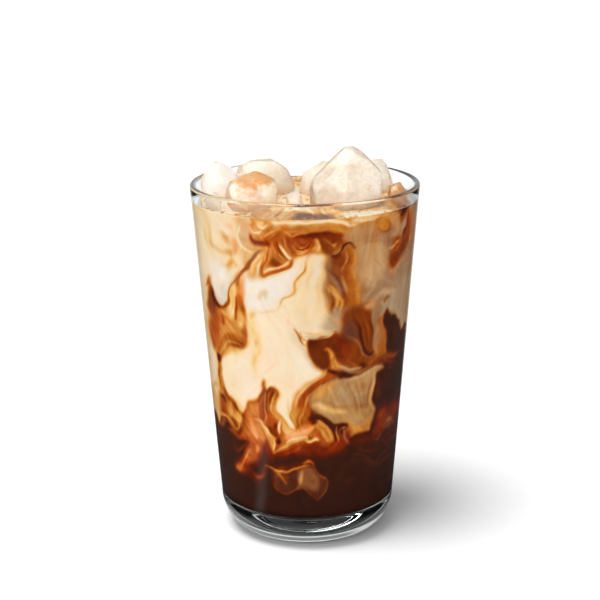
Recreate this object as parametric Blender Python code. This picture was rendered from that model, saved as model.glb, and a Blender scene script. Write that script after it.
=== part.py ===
"""Iced coffee in a conical glass tumbler: the tumbler, the drink that fills it and its ice.

Units are metres, +Z is up, and the origin is the centre of the tumbler's foot on the table.
The side that is looked at faces -Y.
"""

import math
import random

import bmesh
import bpy
from mathutils import Vector, noise

MM = 0.001

# The tumbler, from its rim down. The wall is straight and conical and runs into a rounded heel.
GLASS_HEIGHT = 138 * MM
RIM_RADIUS = 44 * MM
WALL_RADIUS_AT_TABLE = 33 * MM
HEEL_REACH = 11 * MM
HEEL_HEIGHT = 14 * MM
WALL_AT_RIM = 2.2 * MM
WALL_AT_FLOOR = 3.2 * MM
FLOOR_THICKNESS = 11.5 * MM
FLOOR_CORNER = 4.5 * MM
FOOT_RING_WIDTH = 5 * MM
PUNT_DEPTH = 1.2 * MM

# The drink stands HEADROOM below the rim. Over the last CREEP before the glass it climbs by MENISCUS.
HEADROOM = 6.5 * MM
MENISCUS = 0.6 * MM
CREEP = 2.4 * MM
GAP = 0.3 * MM
LEVEL = GLASS_HEIGHT - HEADROOM

TURN_STEPS = 72
HEEL_STEPS = 7
CORNER_STEPS = 4
PUNT_STEPS = 4
LIP_STEPS = 6
SMOOTH_BELOW = math.radians(40)

# Every lump of ice: its middle, its half widths along X and Y, the height of its widest part, how far
# its root hangs below that, how deep each round of melting cuts its edges back, and the corners of its
# crown, all in millimetres. The seed shapes what is under the crown.
ICE = {
    "ice_left": {
        "middle": (-32.3, 3.0), "half": (9.4, 15.0), "widest": 134.5, "root": 17, "melts": (0.5,),
        "seed": 11,
        "crown": ((-41.0, 3.0, 138.2), (-39.4, 2.0, 142.0), (-36.6, 4.0, 145.0), (-33.8, 5.0, 149.0),
                  (-31.8, 5.5, 147.8), (-29.4, 5.0, 145.6), (-27.4, 4.0, 142.0), (-36.0, -7.0, 137.5),
                  (-30.0, 12.5, 141.0), (-35.0, 11.0, 140.5)),
    },
    "ice_left_low": {
        "middle": (-34.8, -19.0), "half": (5.8, 8.5), "widest": 133.0, "root": 12, "melts": (0.5,),
        "seed": 5,
        "crown": ((-35.6, -18.0, 137.5), (-33.2, -18.0, 140.0), (-30.6, -17.5, 141.2), (-28.6, -17.0, 141.2)),
    },
    "ice_back_left": {
        "middle": (-14.8, 16.5), "half": (14.5, 14.5), "widest": 134.0, "root": 20, "melts": (0.6,),
        "seed": 23,
        "crown": ((-28.6, 13.0, 141.2), (-25.9, 14.0, 142.8), (-21.3, 14.0, 144.7), (-15.2, 14.5, 145.7),
                  (-11.2, 14.0, 144.9), (-6.6, 14.0, 140.6), (-2.8, 14.0, 134.2), (-15.0, 24.0, 141.5),
                  (-24.0, 22.0, 139.0), (-15.0, 6.5, 141.0)),
    },
    "ice_front_left": {
        "middle": (-19.8, -14.4), "half": (13.6, 13.4), "widest": 135.0, "root": 20, "melts": (0.7, 0.3),
        "seed": 31,
        "crown": ((-31.0, -14.0, 139.4), (-28.4, -14.0, 142.6), (-22.4, -14.0, 145.3), (-18.6, -14.0, 146.1),
                  (-13.2, -13.5, 145.5), (-9.4, -14.0, 143.6), (-6.8, -14.0, 139.8), (-22.0, -21.5, 142.0),
                  (-13.0, -21.5, 141.2), (-20.0, -6.0, 142.0)),
    },
    "ice_front": {
        "middle": (-15.8, -33.5), "half": (8.2, 7.0), "widest": 130.0, "root": 12, "melts": (0.6,),
        "seed": 41,
        "crown": ((-20.6, -33.0, 135.6), (-15.6, -33.5, 136.5), (-10.9, -33.0, 135.6)),
    },
    "ice_middle": {
        "middle": (-4.0, -12.5), "half": (4.8, 13.0), "widest": 132.5, "root": 14, "melts": (0.4,),
        "seed": 47,
        "crown": ((-8.2, -16.0, 136.4), (-2.2, -16.0, 137.6), (0.4, -16.0, 137.2), (-3.6, -7.0, 136.6)),
    },
    "ice_front_right": {
        "middle": (15.2, -10.8), "half": (16.0, 16.8), "widest": 135.5, "root": 23, "melts": (0.6,),
        "seed": 59,
        "crown": ((-0.4, -12.0, 136.8), (1.4, -12.0, 140.6), (5.7, -11.5, 145.2), (11.2, -11.0, 150.4),
                  (13.6, -11.0, 153.0), (17.0, -10.5, 154.4), (20.2, -11.0, 153.6), (25.0, -11.5, 148.8),
                  (28.8, -12.0, 144.6), (30.6, -12.0, 141.2), (16.5, -1.0, 149.2), (8.5, -2.0, 144.5),
                  (25.0, 0.0, 143.0), (10.0, -20.0, 143.5), (20.5, -22.0, 141.5), (16.0, -17.0, 148.6)),
    },
    "ice_back": {
        "middle": (4.6, 14.2), "half": (9.2, 13.0), "widest": 133.5, "root": 17, "melts": (0.5,),
        "seed": 67,
        "crown": ((-2.0, 14.0, 138.0), (5.3, 14.0, 141.6), (10.9, 14.0, 145.6), (11.6, 17.0, 144.2),
                  (5.0, 22.0, 140.0)),
    },
    "ice_back_right": {
        "middle": (25.8, 14.8), "half": (9.8, 12.5), "widest": 134.0, "root": 17, "melts": (0.5,),
        "seed": 71,
        "crown": ((23.0, 14.0, 142.5), (25.2, 14.0, 143.7), (29.6, 14.0, 144.9), (31.6, 14.0, 143.4),
                  (32.7, 13.5, 141.0), (33.6, 13.0, 136.4), (26.0, 22.0, 140.0), (25.0, 6.0, 140.0)),
    },
    "ice_right": {
        "middle": (35.4, -8.5), "half": (5.6, 14.5), "widest": 133.5, "root": 15, "melts": (0.6,),
        "seed": 83,
        "crown": ((29.4, -5.0, 137.4), (33.3, -4.0, 139.1), (36.0, -4.0, 138.7), (38.4, -4.0, 137.6),
                  (31.5, -13.0, 136.6), (33.5, -18.0, 135.5)),
    },
}
AMBER_ICE = ("ice_front_left", "ice_left_low", "ice_right", "ice_front")

# Under its crown a lump has two uneven rings of corners: its widest part and, smaller, its root.
RING_CORNERS = 7
RING_JITTER = 0.07
RING_TILT_MM = 1.0
ROOT_SHRINK = 0.62

# What lies between the lumps, and between them and the glass or the drink.
CLEFT = 2.4 * MM
ICE_TO_GLASS = 1.5 * MM
POCKET_PLAY = 0.45 * MM

# Edges sharper than this melt, faces flatter than this join, and the skin undulates a little.
SHARP_OVER = math.radians(24)
FLAT_WITHIN = math.radians(3)
SPLIT_OVER = 7 * MM
CRAG_HEIGHT = 0.35 * MM
CRAG_SIZE = 5 * MM
MERGE = 0.01 * MM
NEAREST_CORNERS = 0.8 * MM


def clear_scene():
    for obj in list(bpy.data.objects):
        bpy.data.objects.remove(obj)


def material(name, colour, roughness, transmission=0.0):
    made = bpy.data.materials.new(name)
    made.use_nodes = True
    shader = made.node_tree.nodes["Principled BSDF"]
    shader.inputs["Base Color"].default_value = (*colour, 1.0)
    shader.inputs["Roughness"].default_value = roughness
    shader.inputs["Metallic"].default_value = 0.0
    shader.inputs["Transmission Weight"].default_value = transmission
    made.diffuse_color = (*colour, 1.0)
    return made


def new_object(name, bm):
    mesh = bpy.data.meshes.new(name)
    bm.to_mesh(mesh)
    bm.free()
    obj = bpy.data.objects.new(name, mesh)
    bpy.context.scene.collection.objects.link(obj)
    return obj


def arc(centre, reach, start_deg, end_deg, steps):
    """Points on an ellipse about centre, from one angle to another, as (radius, height)."""
    points = []
    for i in range(steps + 1):
        angle = math.radians(start_deg + (end_deg - start_deg) * i / steps)
        points.append((centre[0] + reach[0] * math.cos(angle), centre[1] + reach[1] * math.sin(angle)))
    return points


def outer_radius(z):
    return WALL_RADIUS_AT_TABLE + (RIM_RADIUS - WALL_RADIUS_AT_TABLE) * z / GLASS_HEIGHT


def inner_radius(z):
    share = (z - FLOOR_THICKNESS) / (GLASS_HEIGHT - FLOOR_THICKNESS)
    wall = WALL_AT_FLOOR + (WALL_AT_RIM - WALL_AT_FLOOR) * share
    return outer_radius(z) - wall


def inside_corner(inset):
    """The rounded corner between the floor and the wall of the glass, moved inwards by inset."""
    corner = FLOOR_CORNER - inset
    top = FLOOR_THICKNESS + FLOOR_CORNER
    centre = (inner_radius(top) - FLOOR_CORNER, top)
    return arc(centre, (corner, corner), 270, 360, CORNER_STEPS)


def glass_profile():
    """The tumbler's section, from the middle of its underside out, up, over the lip and down inside."""
    heel_radius = outer_radius(HEEL_HEIGHT)
    foot_radius = heel_radius - HEEL_REACH
    punt_radius = foot_radius - FOOT_RING_WIDTH
    lip = WALL_AT_RIM / 2
    shares = [i / PUNT_STEPS for i in range(PUNT_STEPS + 1)]
    punt = [(punt_radius * share, PUNT_DEPTH * (1 - share ** 2)) for share in shares]
    heel = arc((foot_radius, HEEL_HEIGHT), (HEEL_REACH, HEEL_HEIGHT), 270, 360, HEEL_STEPS)
    rim = arc((RIM_RADIUS - lip, GLASS_HEIGHT - lip), (lip, lip), 0, 180, LIP_STEPS)
    return punt + heel + rim + inside_corner(0)[::-1] + [(0, FLOOR_THICKNESS)]


def drink_profile():
    """The drink's section: the inside of the tumbler less a gap, up to the level."""
    edge = inner_radius(LEVEL) - GAP
    creep = [(edge, LEVEL + MENISCUS), (edge - CREEP / 2, LEVEL + MENISCUS / 5), (edge - CREEP, LEVEL)]
    return [(0, FLOOR_THICKNESS + GAP)] + inside_corner(GAP) + creep + [(0, LEVEL)]


def turned(name, profile):
    """A solid turned about Z from a section that starts and ends on the axis."""
    bm = bmesh.new()
    verts = [bm.verts.new((radius, 0, height)) for radius, height in profile]
    edges = [bm.edges.new(pair) for pair in zip(verts, verts[1:])]
    bmesh.ops.spin(
        bm, geom=verts + edges, cent=(0, 0, 0), axis=(0, 0, 1), angle=2 * math.pi, steps=TURN_STEPS,
        use_merge=True,
    )
    bmesh.ops.remove_doubles(bm, verts=bm.verts, dist=MERGE)
    bmesh.ops.recalc_face_normals(bm, faces=bm.faces)
    return new_object(name, bm)


def ring(lump, dice, scale, height):
    """An uneven ring of corners round a lump of ice."""
    turn = dice.uniform(0, 2 * math.pi / RING_CORNERS)
    corners = []
    for i in range(RING_CORNERS):
        angle = turn + 2 * math.pi * i / RING_CORNERS
        size = scale * (1 + dice.uniform(-RING_JITTER, RING_JITTER))
        x = lump["middle"][0] + lump["half"][0] * size * math.cos(angle)
        y = lump["middle"][1] + lump["half"][1] * size * math.sin(angle)
        corners.append((x, y, height + dice.uniform(-RING_TILT_MM, RING_TILT_MM)))
    return corners


def inside_glass(corner):
    """A corner given in millimetres, as a vector that is drawn in where the glass is too close."""
    point = Vector(corner) * MM
    reach = math.hypot(point.x, point.y)
    room = inner_radius(point.z) - ICE_TO_GLASS
    if reach > room:
        point.xy *= room / reach
    return point


def half_width(lump, direction):
    return math.hypot(lump["half"][0] * direction.x, lump["half"][1] * direction.y) * MM


def clefts(lump):
    """The upright planes that part a lump from the others, each as a point and a direction away from it."""
    middle = Vector(lump["middle"]) * MM
    planes = []
    for other in ICE.values():
        if other is lump:
            continue
        away = Vector(other["middle"]) * MM - middle
        own, far = half_width(lump, away.normalized()), half_width(other, away.normalized())
        parting = middle + away * own / (own + far) - away.normalized() * CLEFT / 2
        planes.append((parting.to_3d(), away.normalized().to_3d()))
    return planes


def hull_of(points):
    """The convex hull of some points as a bmesh of flat faces, with points that nearly meet made one."""
    bm = bmesh.new()
    corners = [bm.verts.new(point) for point in points]
    bmesh.ops.remove_doubles(bm, verts=corners, dist=NEAREST_CORNERS)
    hull = bmesh.ops.convex_hull(bm, input=bm.verts)
    spare = {g for g in hull["geom_interior"] + hull["geom_unused"] if isinstance(g, bmesh.types.BMVert)}
    bmesh.ops.delete(bm, geom=list(spare), context="VERTS")
    bmesh.ops.recalc_face_normals(bm, faces=bm.faces)
    bmesh.ops.dissolve_limit(bm, angle_limit=FLAT_WITHIN, verts=bm.verts, edges=bm.edges)
    bm.normal_update()
    return bm


def trimmed(bm, planes):
    """The convex shape bm, cut by planes that each lie as a point and a direction away from what is kept."""
    for point, direction in planes:
        bmesh.ops.bisect_plane(
            bm, geom=bm.verts[:] + bm.edges[:] + bm.faces[:], dist=MERGE, plane_co=point, plane_no=direction,
            clear_outer=True,
        )
    left = hull_of([vert.co for vert in bm.verts])
    bm.free()
    return left


def melted_edges(bm, melt):
    """The planes that cut every sharp edge of a convex shape back by melt."""
    planes = []
    for edge in bm.edges:
        if edge.calc_face_angle() > SHARP_OVER:
            out = (edge.link_faces[0].normal + edge.link_faces[1].normal).normalized()
            planes.append(((edge.verts[0].co + edge.verts[1].co) / 2 - out * melt, out))
    return planes


def ice_shape(lump):
    """One melting lump of ice as a bmesh, split from its neighbours."""
    dice = random.Random(lump["seed"])
    corners = list(lump["crown"])
    corners += ring(lump, dice, 1.0, lump["widest"])
    corners += ring(lump, dice, ROOT_SHRINK, lump["widest"] - lump["root"])
    bm = trimmed(hull_of([inside_glass(corner) for corner in corners]), clefts(lump))
    for melt in lump["melts"]:
        bm = trimmed(bm, melted_edges(bm, melt * MM))
    bmesh.ops.triangulate(bm, faces=bm.faces)
    long_edges = [edge for edge in bm.edges if edge.calc_length() > SPLIT_OVER]
    bmesh.ops.subdivide_edges(bm, edges=long_edges, cuts=1)
    bmesh.ops.triangulate(bm, faces=bm.faces)
    bm.normal_update()
    for vert in bm.verts:
        vert.co += vert.normal * CRAG_HEIGHT * noise.noise(vert.co / CRAG_SIZE)
    bmesh.ops.recalc_face_normals(bm, faces=bm.faces)
    return bm


def pocket_shape(lump):
    """The room that a lump takes in the drink: a plain shape that clears it all round."""
    ice = ice_shape(lump)
    ice.normal_update()
    pocket = hull_of([vert.co + vert.normal * POCKET_PLAY for vert in ice.verts])
    ice.free()
    bmesh.ops.triangulate(pocket, faces=pocket.faces)
    return pocket


def make_tumbler():
    tumbler = turned("tumbler", glass_profile())
    tumbler.data.materials.append(material("clear_glass", (0.95, 0.96, 0.96), 0.02, transmission=1.0))
    tumbler.data.shade_smooth()
    tumbler.data.set_sharp_from_angle(angle=SMOOTH_BELOW)


def make_ice():
    clear = material("milky_ice", (0.95, 0.92, 0.86), 0.25)
    amber = material("coffee_stained_ice", (0.86, 0.62, 0.36), 0.2)
    for name, lump in ICE.items():
        ice = new_object(name, ice_shape(lump))
        ice.data.materials.append(amber if name in AMBER_ICE else clear)


def make_drink():
    """The drink, with a pocket for each lump of ice."""
    drink = turned("drink", drink_profile())
    drink.data.materials.append(material("coffee_and_milk", (0.62, 0.38, 0.2), 0.1))
    for name, lump in ICE.items():
        cutter = new_object("pocket_" + name, pocket_shape(lump))
        cutter.hide_render = True
        cutter.display_type = "WIRE"
        pocket = drink.modifiers.new("pocket_" + name, "BOOLEAN")
        pocket.operation = "DIFFERENCE"
        pocket.object = cutter


clear_scene()
make_tumbler()
make_ice()
make_drink()
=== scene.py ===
"""The looks of an iced coffee in its tumbler: clear glass, coffee marbled with milk, froth and melting ice.

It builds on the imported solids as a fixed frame. Lengths are in millimetres up to the meshes, which are in
metres.
"""

import logging
import math
from dataclasses import dataclass, field
from functools import partialmethod
from typing import NamedTuple

import bmesh
import bpy
import numpy as np
from mathutils import Matrix, Vector, noise


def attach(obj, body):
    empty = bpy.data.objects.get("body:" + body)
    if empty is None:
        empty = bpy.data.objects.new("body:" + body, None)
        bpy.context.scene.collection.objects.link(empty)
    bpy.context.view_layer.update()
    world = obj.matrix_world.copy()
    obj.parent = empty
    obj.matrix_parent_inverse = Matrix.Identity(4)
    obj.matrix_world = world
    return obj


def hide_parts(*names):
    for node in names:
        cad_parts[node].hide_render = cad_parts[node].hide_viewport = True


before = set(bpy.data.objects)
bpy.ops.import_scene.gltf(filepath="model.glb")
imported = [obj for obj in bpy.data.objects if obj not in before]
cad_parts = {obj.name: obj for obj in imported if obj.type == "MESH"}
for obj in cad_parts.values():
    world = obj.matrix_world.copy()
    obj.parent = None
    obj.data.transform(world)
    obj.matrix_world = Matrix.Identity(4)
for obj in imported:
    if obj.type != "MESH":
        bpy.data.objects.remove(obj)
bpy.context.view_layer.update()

MM = 0.001
log = logging.getLogger("iced_coffee")

# The record's slots for ice.
CLEAN = "milky_ice"
STAINED = "coffee_stained_ice"

# The tumbler's section, as in the solids.
GLASS_HEIGHT = 138.0
RIM_RADIUS = 44.0
WALL_RADIUS_AT_TABLE = 33.0
HEEL_REACH = 11.0
HEEL_HEIGHT = 14.0
WALL_AT_RIM = 2.2
WALL_AT_FLOOR = 3.2
FLOOR_THICKNESS = 11.5
FLOOR_CORNER = 4.5
FOOT_RING_WIDTH = 5.0
PUNT_DEPTH = 1.2

# The drink's level, and its climb at the glass.
LEVEL = 131.5
MENISCUS = 0.6
CREEP = 2.4

# How far the drink reaches into the glass, so that no air shows between them.
INTO_GLASS = 0.15
MERGE = 0.002 * MM

# The marbling. The wall unrolls at one radius for all heights. Behind the glass, in degrees from the front,
# the front's marbling comes back mirrored, stirred about, slipped up or down and softer.
WALL_UNROLLED = 39.0
BACK_STARTS = 74.0
BACK_MIRRORS = 90.0
BACK_STIRRED = 140.0
BACK_SLIP = 11.0
BACK_SOFTNESS = 1.5

# How thick a thread is at its ends, and how pale the coffee is under the marbling.
THREAD_ENDS = 0.35
COFFEE_AT_FOOT = 0.05
COFFEE_AT_MARBLING = 0.10
COFFEE_PALER_FROM = 22.0
COFFEE_PALER_TO = 52.0


def outer_radius(z: float) -> float:
    """The outer radius of the conical wall at a height, in millimetres."""
    return WALL_RADIUS_AT_TABLE + (RIM_RADIUS - WALL_RADIUS_AT_TABLE) * z / GLASS_HEIGHT


def inner_radius(z: float) -> float:
    """The inner radius of the wall at a height, in millimetres."""
    share = (z - FLOOR_THICKNESS) / (GLASS_HEIGHT - FLOOR_THICKNESS)
    return outer_radius(z) - (WALL_AT_FLOOR + (WALL_AT_RIM - WALL_AT_FLOOR) * share)


def arc(
    centre: tuple[float, float], reach: tuple[float, float], start_deg: float, end_deg: float, steps: int
) -> list[tuple[float, float]]:
    """Points on an ellipse.

    Args:
        centre: Its middle, as (radius, height).
        reach: Its half widths.
        start_deg: The angle of the first point.
        end_deg: The angle of the last point.
        steps: How many spans there are.

    Returns:
        The points as (radius, height).
    """
    angles = [math.radians(start_deg + (end_deg - start_deg) * i / steps) for i in range(steps + 1)]
    return [(centre[0] + reach[0] * math.cos(a), centre[1] + reach[1] * math.sin(a)) for a in angles]


def inside_corner(grow: float, steps: int) -> list[tuple[float, float]]:
    """The rounded corner between the floor and the wall inside the glass, moved outwards by grow."""
    corner = FLOOR_CORNER + grow
    top = FLOOR_THICKNESS + FLOOR_CORNER
    return arc((inner_radius(top) - FLOOR_CORNER, top), (corner, corner), 270, 360, steps)


def spun(profile: list[tuple[float, float]], sweeps: list[tuple[float, int]]) -> bmesh.types.BMesh:
    """Turns a section about the upright axis, in sweeps of their own fineness that make a full turn.

    Args:
        profile: The section as (radius, height) in millimetres, from axis to axis.
        sweeps: Each sweep's angle in degrees and its steps. The first one is centred on the front.

    Returns:
        A closed bmesh in metres.
    """
    bm = bmesh.new()
    start = math.radians(-90 - sweeps[0][0] / 2)
    verts = [bm.verts.new((r * math.cos(start) * MM, r * math.sin(start) * MM, z * MM)) for r, z in profile]
    edges = [bm.edges.new(pair) for pair in zip(verts, verts[1:])]
    geom = verts + edges
    for degrees, steps in sweeps:
        swept = bmesh.ops.spin(
            bm, geom=geom, cent=(0, 0, 0), axis=(0, 0, 1), angle=math.radians(degrees), steps=steps,
            use_merge=False,
        )
        geom = swept["geom_last"]
    bmesh.ops.remove_doubles(bm, verts=bm.verts, dist=MERGE)
    bmesh.ops.dissolve_degenerate(bm, dist=MERGE, edges=bm.edges)
    bmesh.ops.recalc_face_normals(bm, faces=bm.faces)
    return bm


def shown(
    name: str, bm: bmesh.types.BMesh, material: bpy.types.Material, slot: str, *nodes: str
) -> bpy.types.Object:
    """Makes a finished piece of the object.

    Args:
        name: The piece's name.
        bm: Its mesh in metres, which is freed.
        material: Its finish.
        slot: The record's material slot; not used.
        nodes: The solids that it stands for.

    Returns:
        The new object.
    """
    mesh = bpy.data.meshes.new(name)
    bm.to_mesh(mesh)
    bm.free()
    mesh.shade_smooth()
    mesh.materials.append(material)
    piece = bpy.data.objects.new(name, mesh)
    bpy.context.scene.collection.objects.link(piece)
    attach(piece, "root")
    if nodes:
        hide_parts(*nodes)
    return piece


def give(piece: bpy.types.Object, name: str, values: np.ndarray) -> None:
    """Stores three numbers at each point of a piece, for its material."""
    attribute = piece.data.attributes.new(name, "FLOAT_VECTOR", "POINT")
    attribute.data.foreach_set("vector", np.ascontiguousarray(values, np.float32).ravel())


def points_of(mesh: bpy.types.Mesh) -> np.ndarray:
    """The points of a mesh in millimetres, one row each."""
    flat = np.empty(len(mesh.vertices) * 3, np.float32)
    mesh.vertices.foreach_get("co", flat)
    return flat.reshape(-1, 3).astype(float) / MM


def linear(code: str) -> tuple[float, float, float, float]:
    """A colour written as six hex digits, as Blender's linear colour."""
    parts = [int(code[i:i + 2], 16) / 255 for i in (0, 2, 4)]
    return (*(c / 12.92 if c <= 0.04045 else ((c + 0.055) / 1.055) ** 2.4 for c in parts), 1.0)


class Signal:
    """A number or colour that varies over a surface: one output of a node, with the signs of arithmetic."""

    def __init__(self, finish: "Finish", socket: bpy.types.NodeSocket) -> None:
        """Wraps a node's output."""
        self.finish = finish
        self.socket = socket

    def _math(self, operation: str, other: "Signal | float", flipped: bool = False) -> "Signal":
        """A Math node on this value and another, or the other way round."""
        first, second = (other, self) if flipped else (self, other)
        return self.finish.node("ShaderNodeMath", {"operation": operation}, {0: first, 1: second})

    __add__ = __radd__ = partialmethod(_math, "ADD")
    __sub__ = partialmethod(_math, "SUBTRACT")
    __rsub__ = partialmethod(_math, "SUBTRACT", flipped=True)
    __mul__ = __rmul__ = partialmethod(_math, "MULTIPLY")
    __truediv__ = partialmethod(_math, "DIVIDE")
    larger = partialmethod(_math, "MAXIMUM")

    def step(self, low: float, high: float) -> "Signal":
        """A soft step from 0 at low to 1 at high; low may be the larger."""
        if low > high:
            return 1 - self.step(high, low)
        inputs = {"Value": self, "From Min": low, "From Max": high}
        return self.finish.node("ShaderNodeMapRange", {"interpolation_type": "SMOOTHSTEP"}, inputs)


class Finish:
    """The nodes of one material, or of the world. Every node of it is made by its node method."""

    def __init__(self, name: str, world: bool = False) -> None:
        """Starts an empty material, or an empty world."""
        self.block = bpy.data.worlds.new(name) if world else bpy.data.materials.new(name)
        self.block.use_nodes = True
        self.tree = self.block.node_tree
        self.tree.nodes.clear()
        self.output = "ShaderNodeOutputWorld" if world else "ShaderNodeOutputMaterial"

    def node(
        self, kind: str, settings: dict[str, object] | None = None,
        inputs: dict[str | int, object] | None = None, output: str | int = 0,
    ) -> Signal:
        """Adds a node.

        Args:
            kind: The node's type.
            settings: Its own settings, which are set first. "stops" holds a ramp's (place, hex colour) pairs.
            inputs: A value or a Signal for each of its sockets that is set.
            output: Which of its outputs is wanted.

        Returns:
            The output as a Signal.
        """
        made = self.tree.nodes.new(kind)
        for name, value in (settings or {}).items():
            if name == "stops":
                self._set_stops(made.color_ramp, value)
            else:
                setattr(made, name, value)
        for key, value in (inputs or {}).items():
            if isinstance(value, Signal):
                self.tree.links.new(value.socket, made.inputs[key])
            else:
                made.inputs[key].default_value = value
        return Signal(self, made.outputs[output])

    @staticmethod
    def _set_stops(ramp: bpy.types.ColorRamp, stops: list[tuple[float, str]]) -> None:
        """Gives a ramp its stops."""
        while len(ramp.elements) < len(stops):
            ramp.elements.new(0.5)
        for element, stop in zip(ramp.elements, stops):
            element.position = stop[0]
        for element, stop in zip(ramp.elements, stops):
            element.color = linear(stop[1])

    def place(self) -> Signal:
        """The point in the object's own frame, in metres."""
        return self.node("ShaderNodeTexCoord", output="Object")

    def stored(self, name: str) -> Signal:
        """Three numbers that the mesh stores at each point."""
        return self.node("ShaderNodeAttribute", {"attribute_name": name}, output="Vector")

    def parts(self, vector: Signal) -> tuple[Signal, Signal, Signal]:
        """A vector's three numbers."""
        made = self.tree.nodes.new("ShaderNodeSeparateXYZ")
        self.tree.links.new(vector.socket, made.inputs[0])
        return tuple(Signal(self, made.outputs[i]) for i in range(3))

    def vector(self, operation: str, first: object, second: object) -> Signal:
        """Vector Math on two vectors."""
        return self.node("ShaderNodeVectorMath", {"operation": operation}, {0: first, 1: second})

    def grain(
        self, at: Signal, scale: float, detail: float = 3.0, rough: float = 0.55, twist: float = 0.0
    ) -> Signal:
        """Noise from 0 to 1.

        Args:
            at: Where it is read.
            scale: How many of its cells go into one unit.
            detail: How many finer layers it has.
            rough: How strong those are.
            twist: How much it folds itself.

        Returns:
            The noise.
        """
        inputs = {"Vector": at, "Scale": scale, "Detail": detail, "Roughness": rough, "Distortion": twist}
        return self.node("ShaderNodeTexNoise", {"noise_dimensions": "3D"}, inputs)

    def cells(self, at: Signal, scale: float, feature: str = "F1") -> Signal:
        """The distance to the nearest of some scattered points, or to the edge between their cells."""
        inputs = {"Vector": at, "Scale": scale}
        return self.node("ShaderNodeTexVoronoi", {"feature": feature}, inputs, "Distance")

    def blend(self, share: Signal | float, under: object, over: object) -> Signal:
        """Mixes two colours.

        Args:
            share: How much of the over colour there is.
            under: A Signal or a linear colour.
            over: A Signal or a linear colour.

        Returns:
            The mixed colour.
        """
        return self.node("ShaderNodeMix", {"data_type": "RGBA"}, {0: share, 6: under, 7: over}, 2)

    def ramp(self, value: Signal, stops: list[tuple[float, str]]) -> Signal:
        """Colours for a value, from a ramp's stops."""
        return self.node("ShaderNodeValToRGB", {"stops": stops}, {"Fac": value})

    def bump(self, height: Signal, depth_mm: float, strength: float = 1.0) -> Signal:
        """A normal for a relief of some depth."""
        inputs = {"Height": height, "Distance": depth_mm * MM, "Strength": strength}
        return self.node("ShaderNodeBump", None, inputs)

    def ray(self, kind: str) -> Signal:
        """1 for rays of one kind, such as Is Shadow Ray, and 0 for the rest."""
        return self.node("ShaderNodeLightPath", output=kind)

    def done(self, shader: Signal) -> bpy.types.Material | bpy.types.World:
        """Ends the tree in a shader and gives its material or world."""
        end = self.tree.nodes.new(self.output)
        self.tree.links.new(shader.socket, end.inputs["Surface"])
        return self.block


class Tint(NamedTuple):
    """What coffee and milk are mixed to.

    Attributes:
        milk: How much milk there is, from 0 to 1.
        veil: How grey it looks where it lies under coffee, from 0 to 1.
        red: How much redder it is, or yellower below 0.
    """

    milk: float
    veil: float
    red: float


BLACK = Tint(0.12, 0.0, 0.1)
COFFEE = Tint(0.10, 0.0, 0.0)
DREGS = Tint(0.10, 0.2, 0.0)
EMBER = Tint(0.30, 0.0, 0.95)
MAHOGANY = Tint(0.27, 0.0, 0.2)
CHESTNUT = Tint(0.35, 0.0, 0.05)
RUST = Tint(0.42, 0.0, 0.62)
CARAMEL = Tint(0.47, 0.0, 0.05)
FLAME = Tint(0.54, 0.0, 0.6)
HONEY = Tint(0.58, 0.0, -0.1)
GOLD = Tint(0.66, 0.0, -0.7)
AMBER = Tint(0.61, 0.1, 0.05)
CORAL = Tint(0.53, 0.28, 1.0)
PEACH = Tint(0.72, 0.0, 0.6)
BUFF = Tint(0.70, 0.15, 0.0)
STRAW = Tint(0.77, 0.0, -0.3)
TAN = Tint(0.84, 0.08, 0.0)
CREAM = Tint(0.90, 0.0, 0.0)
MILK = Tint(0.97, 0.15, 0.0)
PEARL = Tint(0.97, 0.55, 0.0)
MIST = Tint(0.88, 0.85, 0.0)
SMOKE = Tint(0.78, 0.75, 0.15)
DUN = Tint(0.66, 0.45, 0.2)
FAWN = Tint(0.64, 0.45, 0.2)
ROSEWOOD = Tint(0.60, 0.85, 0.25)
UMBER = Tint(0.31, 0.35, 0.15)
SALMON = Tint(0.60, 0.15, 0.5)
TAUPE = Tint(0.65, 0.92, 0.1)
ASH = Tint(0.66, 0.9, 0.0)
HAZEL = Tint(0.46, 0.4, 0.0)
DRAB = Tint(0.51, 0.65, 0.15)
APRICOT = Tint(0.57, 0.0, 0.15)
COPPER = Tint(0.48, 0.0, 0.6)
KHAKI = Tint(0.58, 0.55, -0.35)
OLIVE = Tint(0.47, 0.6, -0.7)
BRONZE = Tint(0.40, 0.1, -0.1)
SHADE = Tint(0.30, 0.4, 0.0)
BLUSH = Tint(0.73, 0.4, 0.28)
OCHRE = Tint(0.53, 0.0, -0.2)
PLUM = Tint(0.38, 0.6, 0.3)
LATTE = Tint(0.67, 0.5, 0.1)


@dataclass(frozen=True)
class Stroke:
    """A cloud or a thread of the marbling, on the unrolled wall.

    Its path is in degrees round from the front and millimetres up from the foot. A cloud is a closed outline,
    and has no width. A thread thins towards its ends. Both fade over edge, in millimetres, and hide what lies
    under them by their share.
    """

    tint: Tint
    path: tuple[tuple[float, float], ...]
    edge: float = 1.0
    width: float = 0.0
    share: float = 1.0


def cloud(tint: Tint, edge: float, *path: tuple[float, float], share: float = 1.0) -> Stroke:
    """A closed cloud of one tint with its outline through the points of path."""
    return Stroke(tint, path, edge, 0.0, share)


def thread(
    tint: Tint, width: float, *path: tuple[float, float], edge: float = 1.2, share: float = 1.0
) -> Stroke:
    """An open thread of one tint along path."""
    return Stroke(tint, path, edge, width, share)


def blot(tint: Tint, size: float, *path: tuple[float, float], share: float = 1.0) -> Stroke:
    """A soft smear of one tint along path, as wide as it is soft."""
    return Stroke(tint, path, size, size, share)


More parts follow.
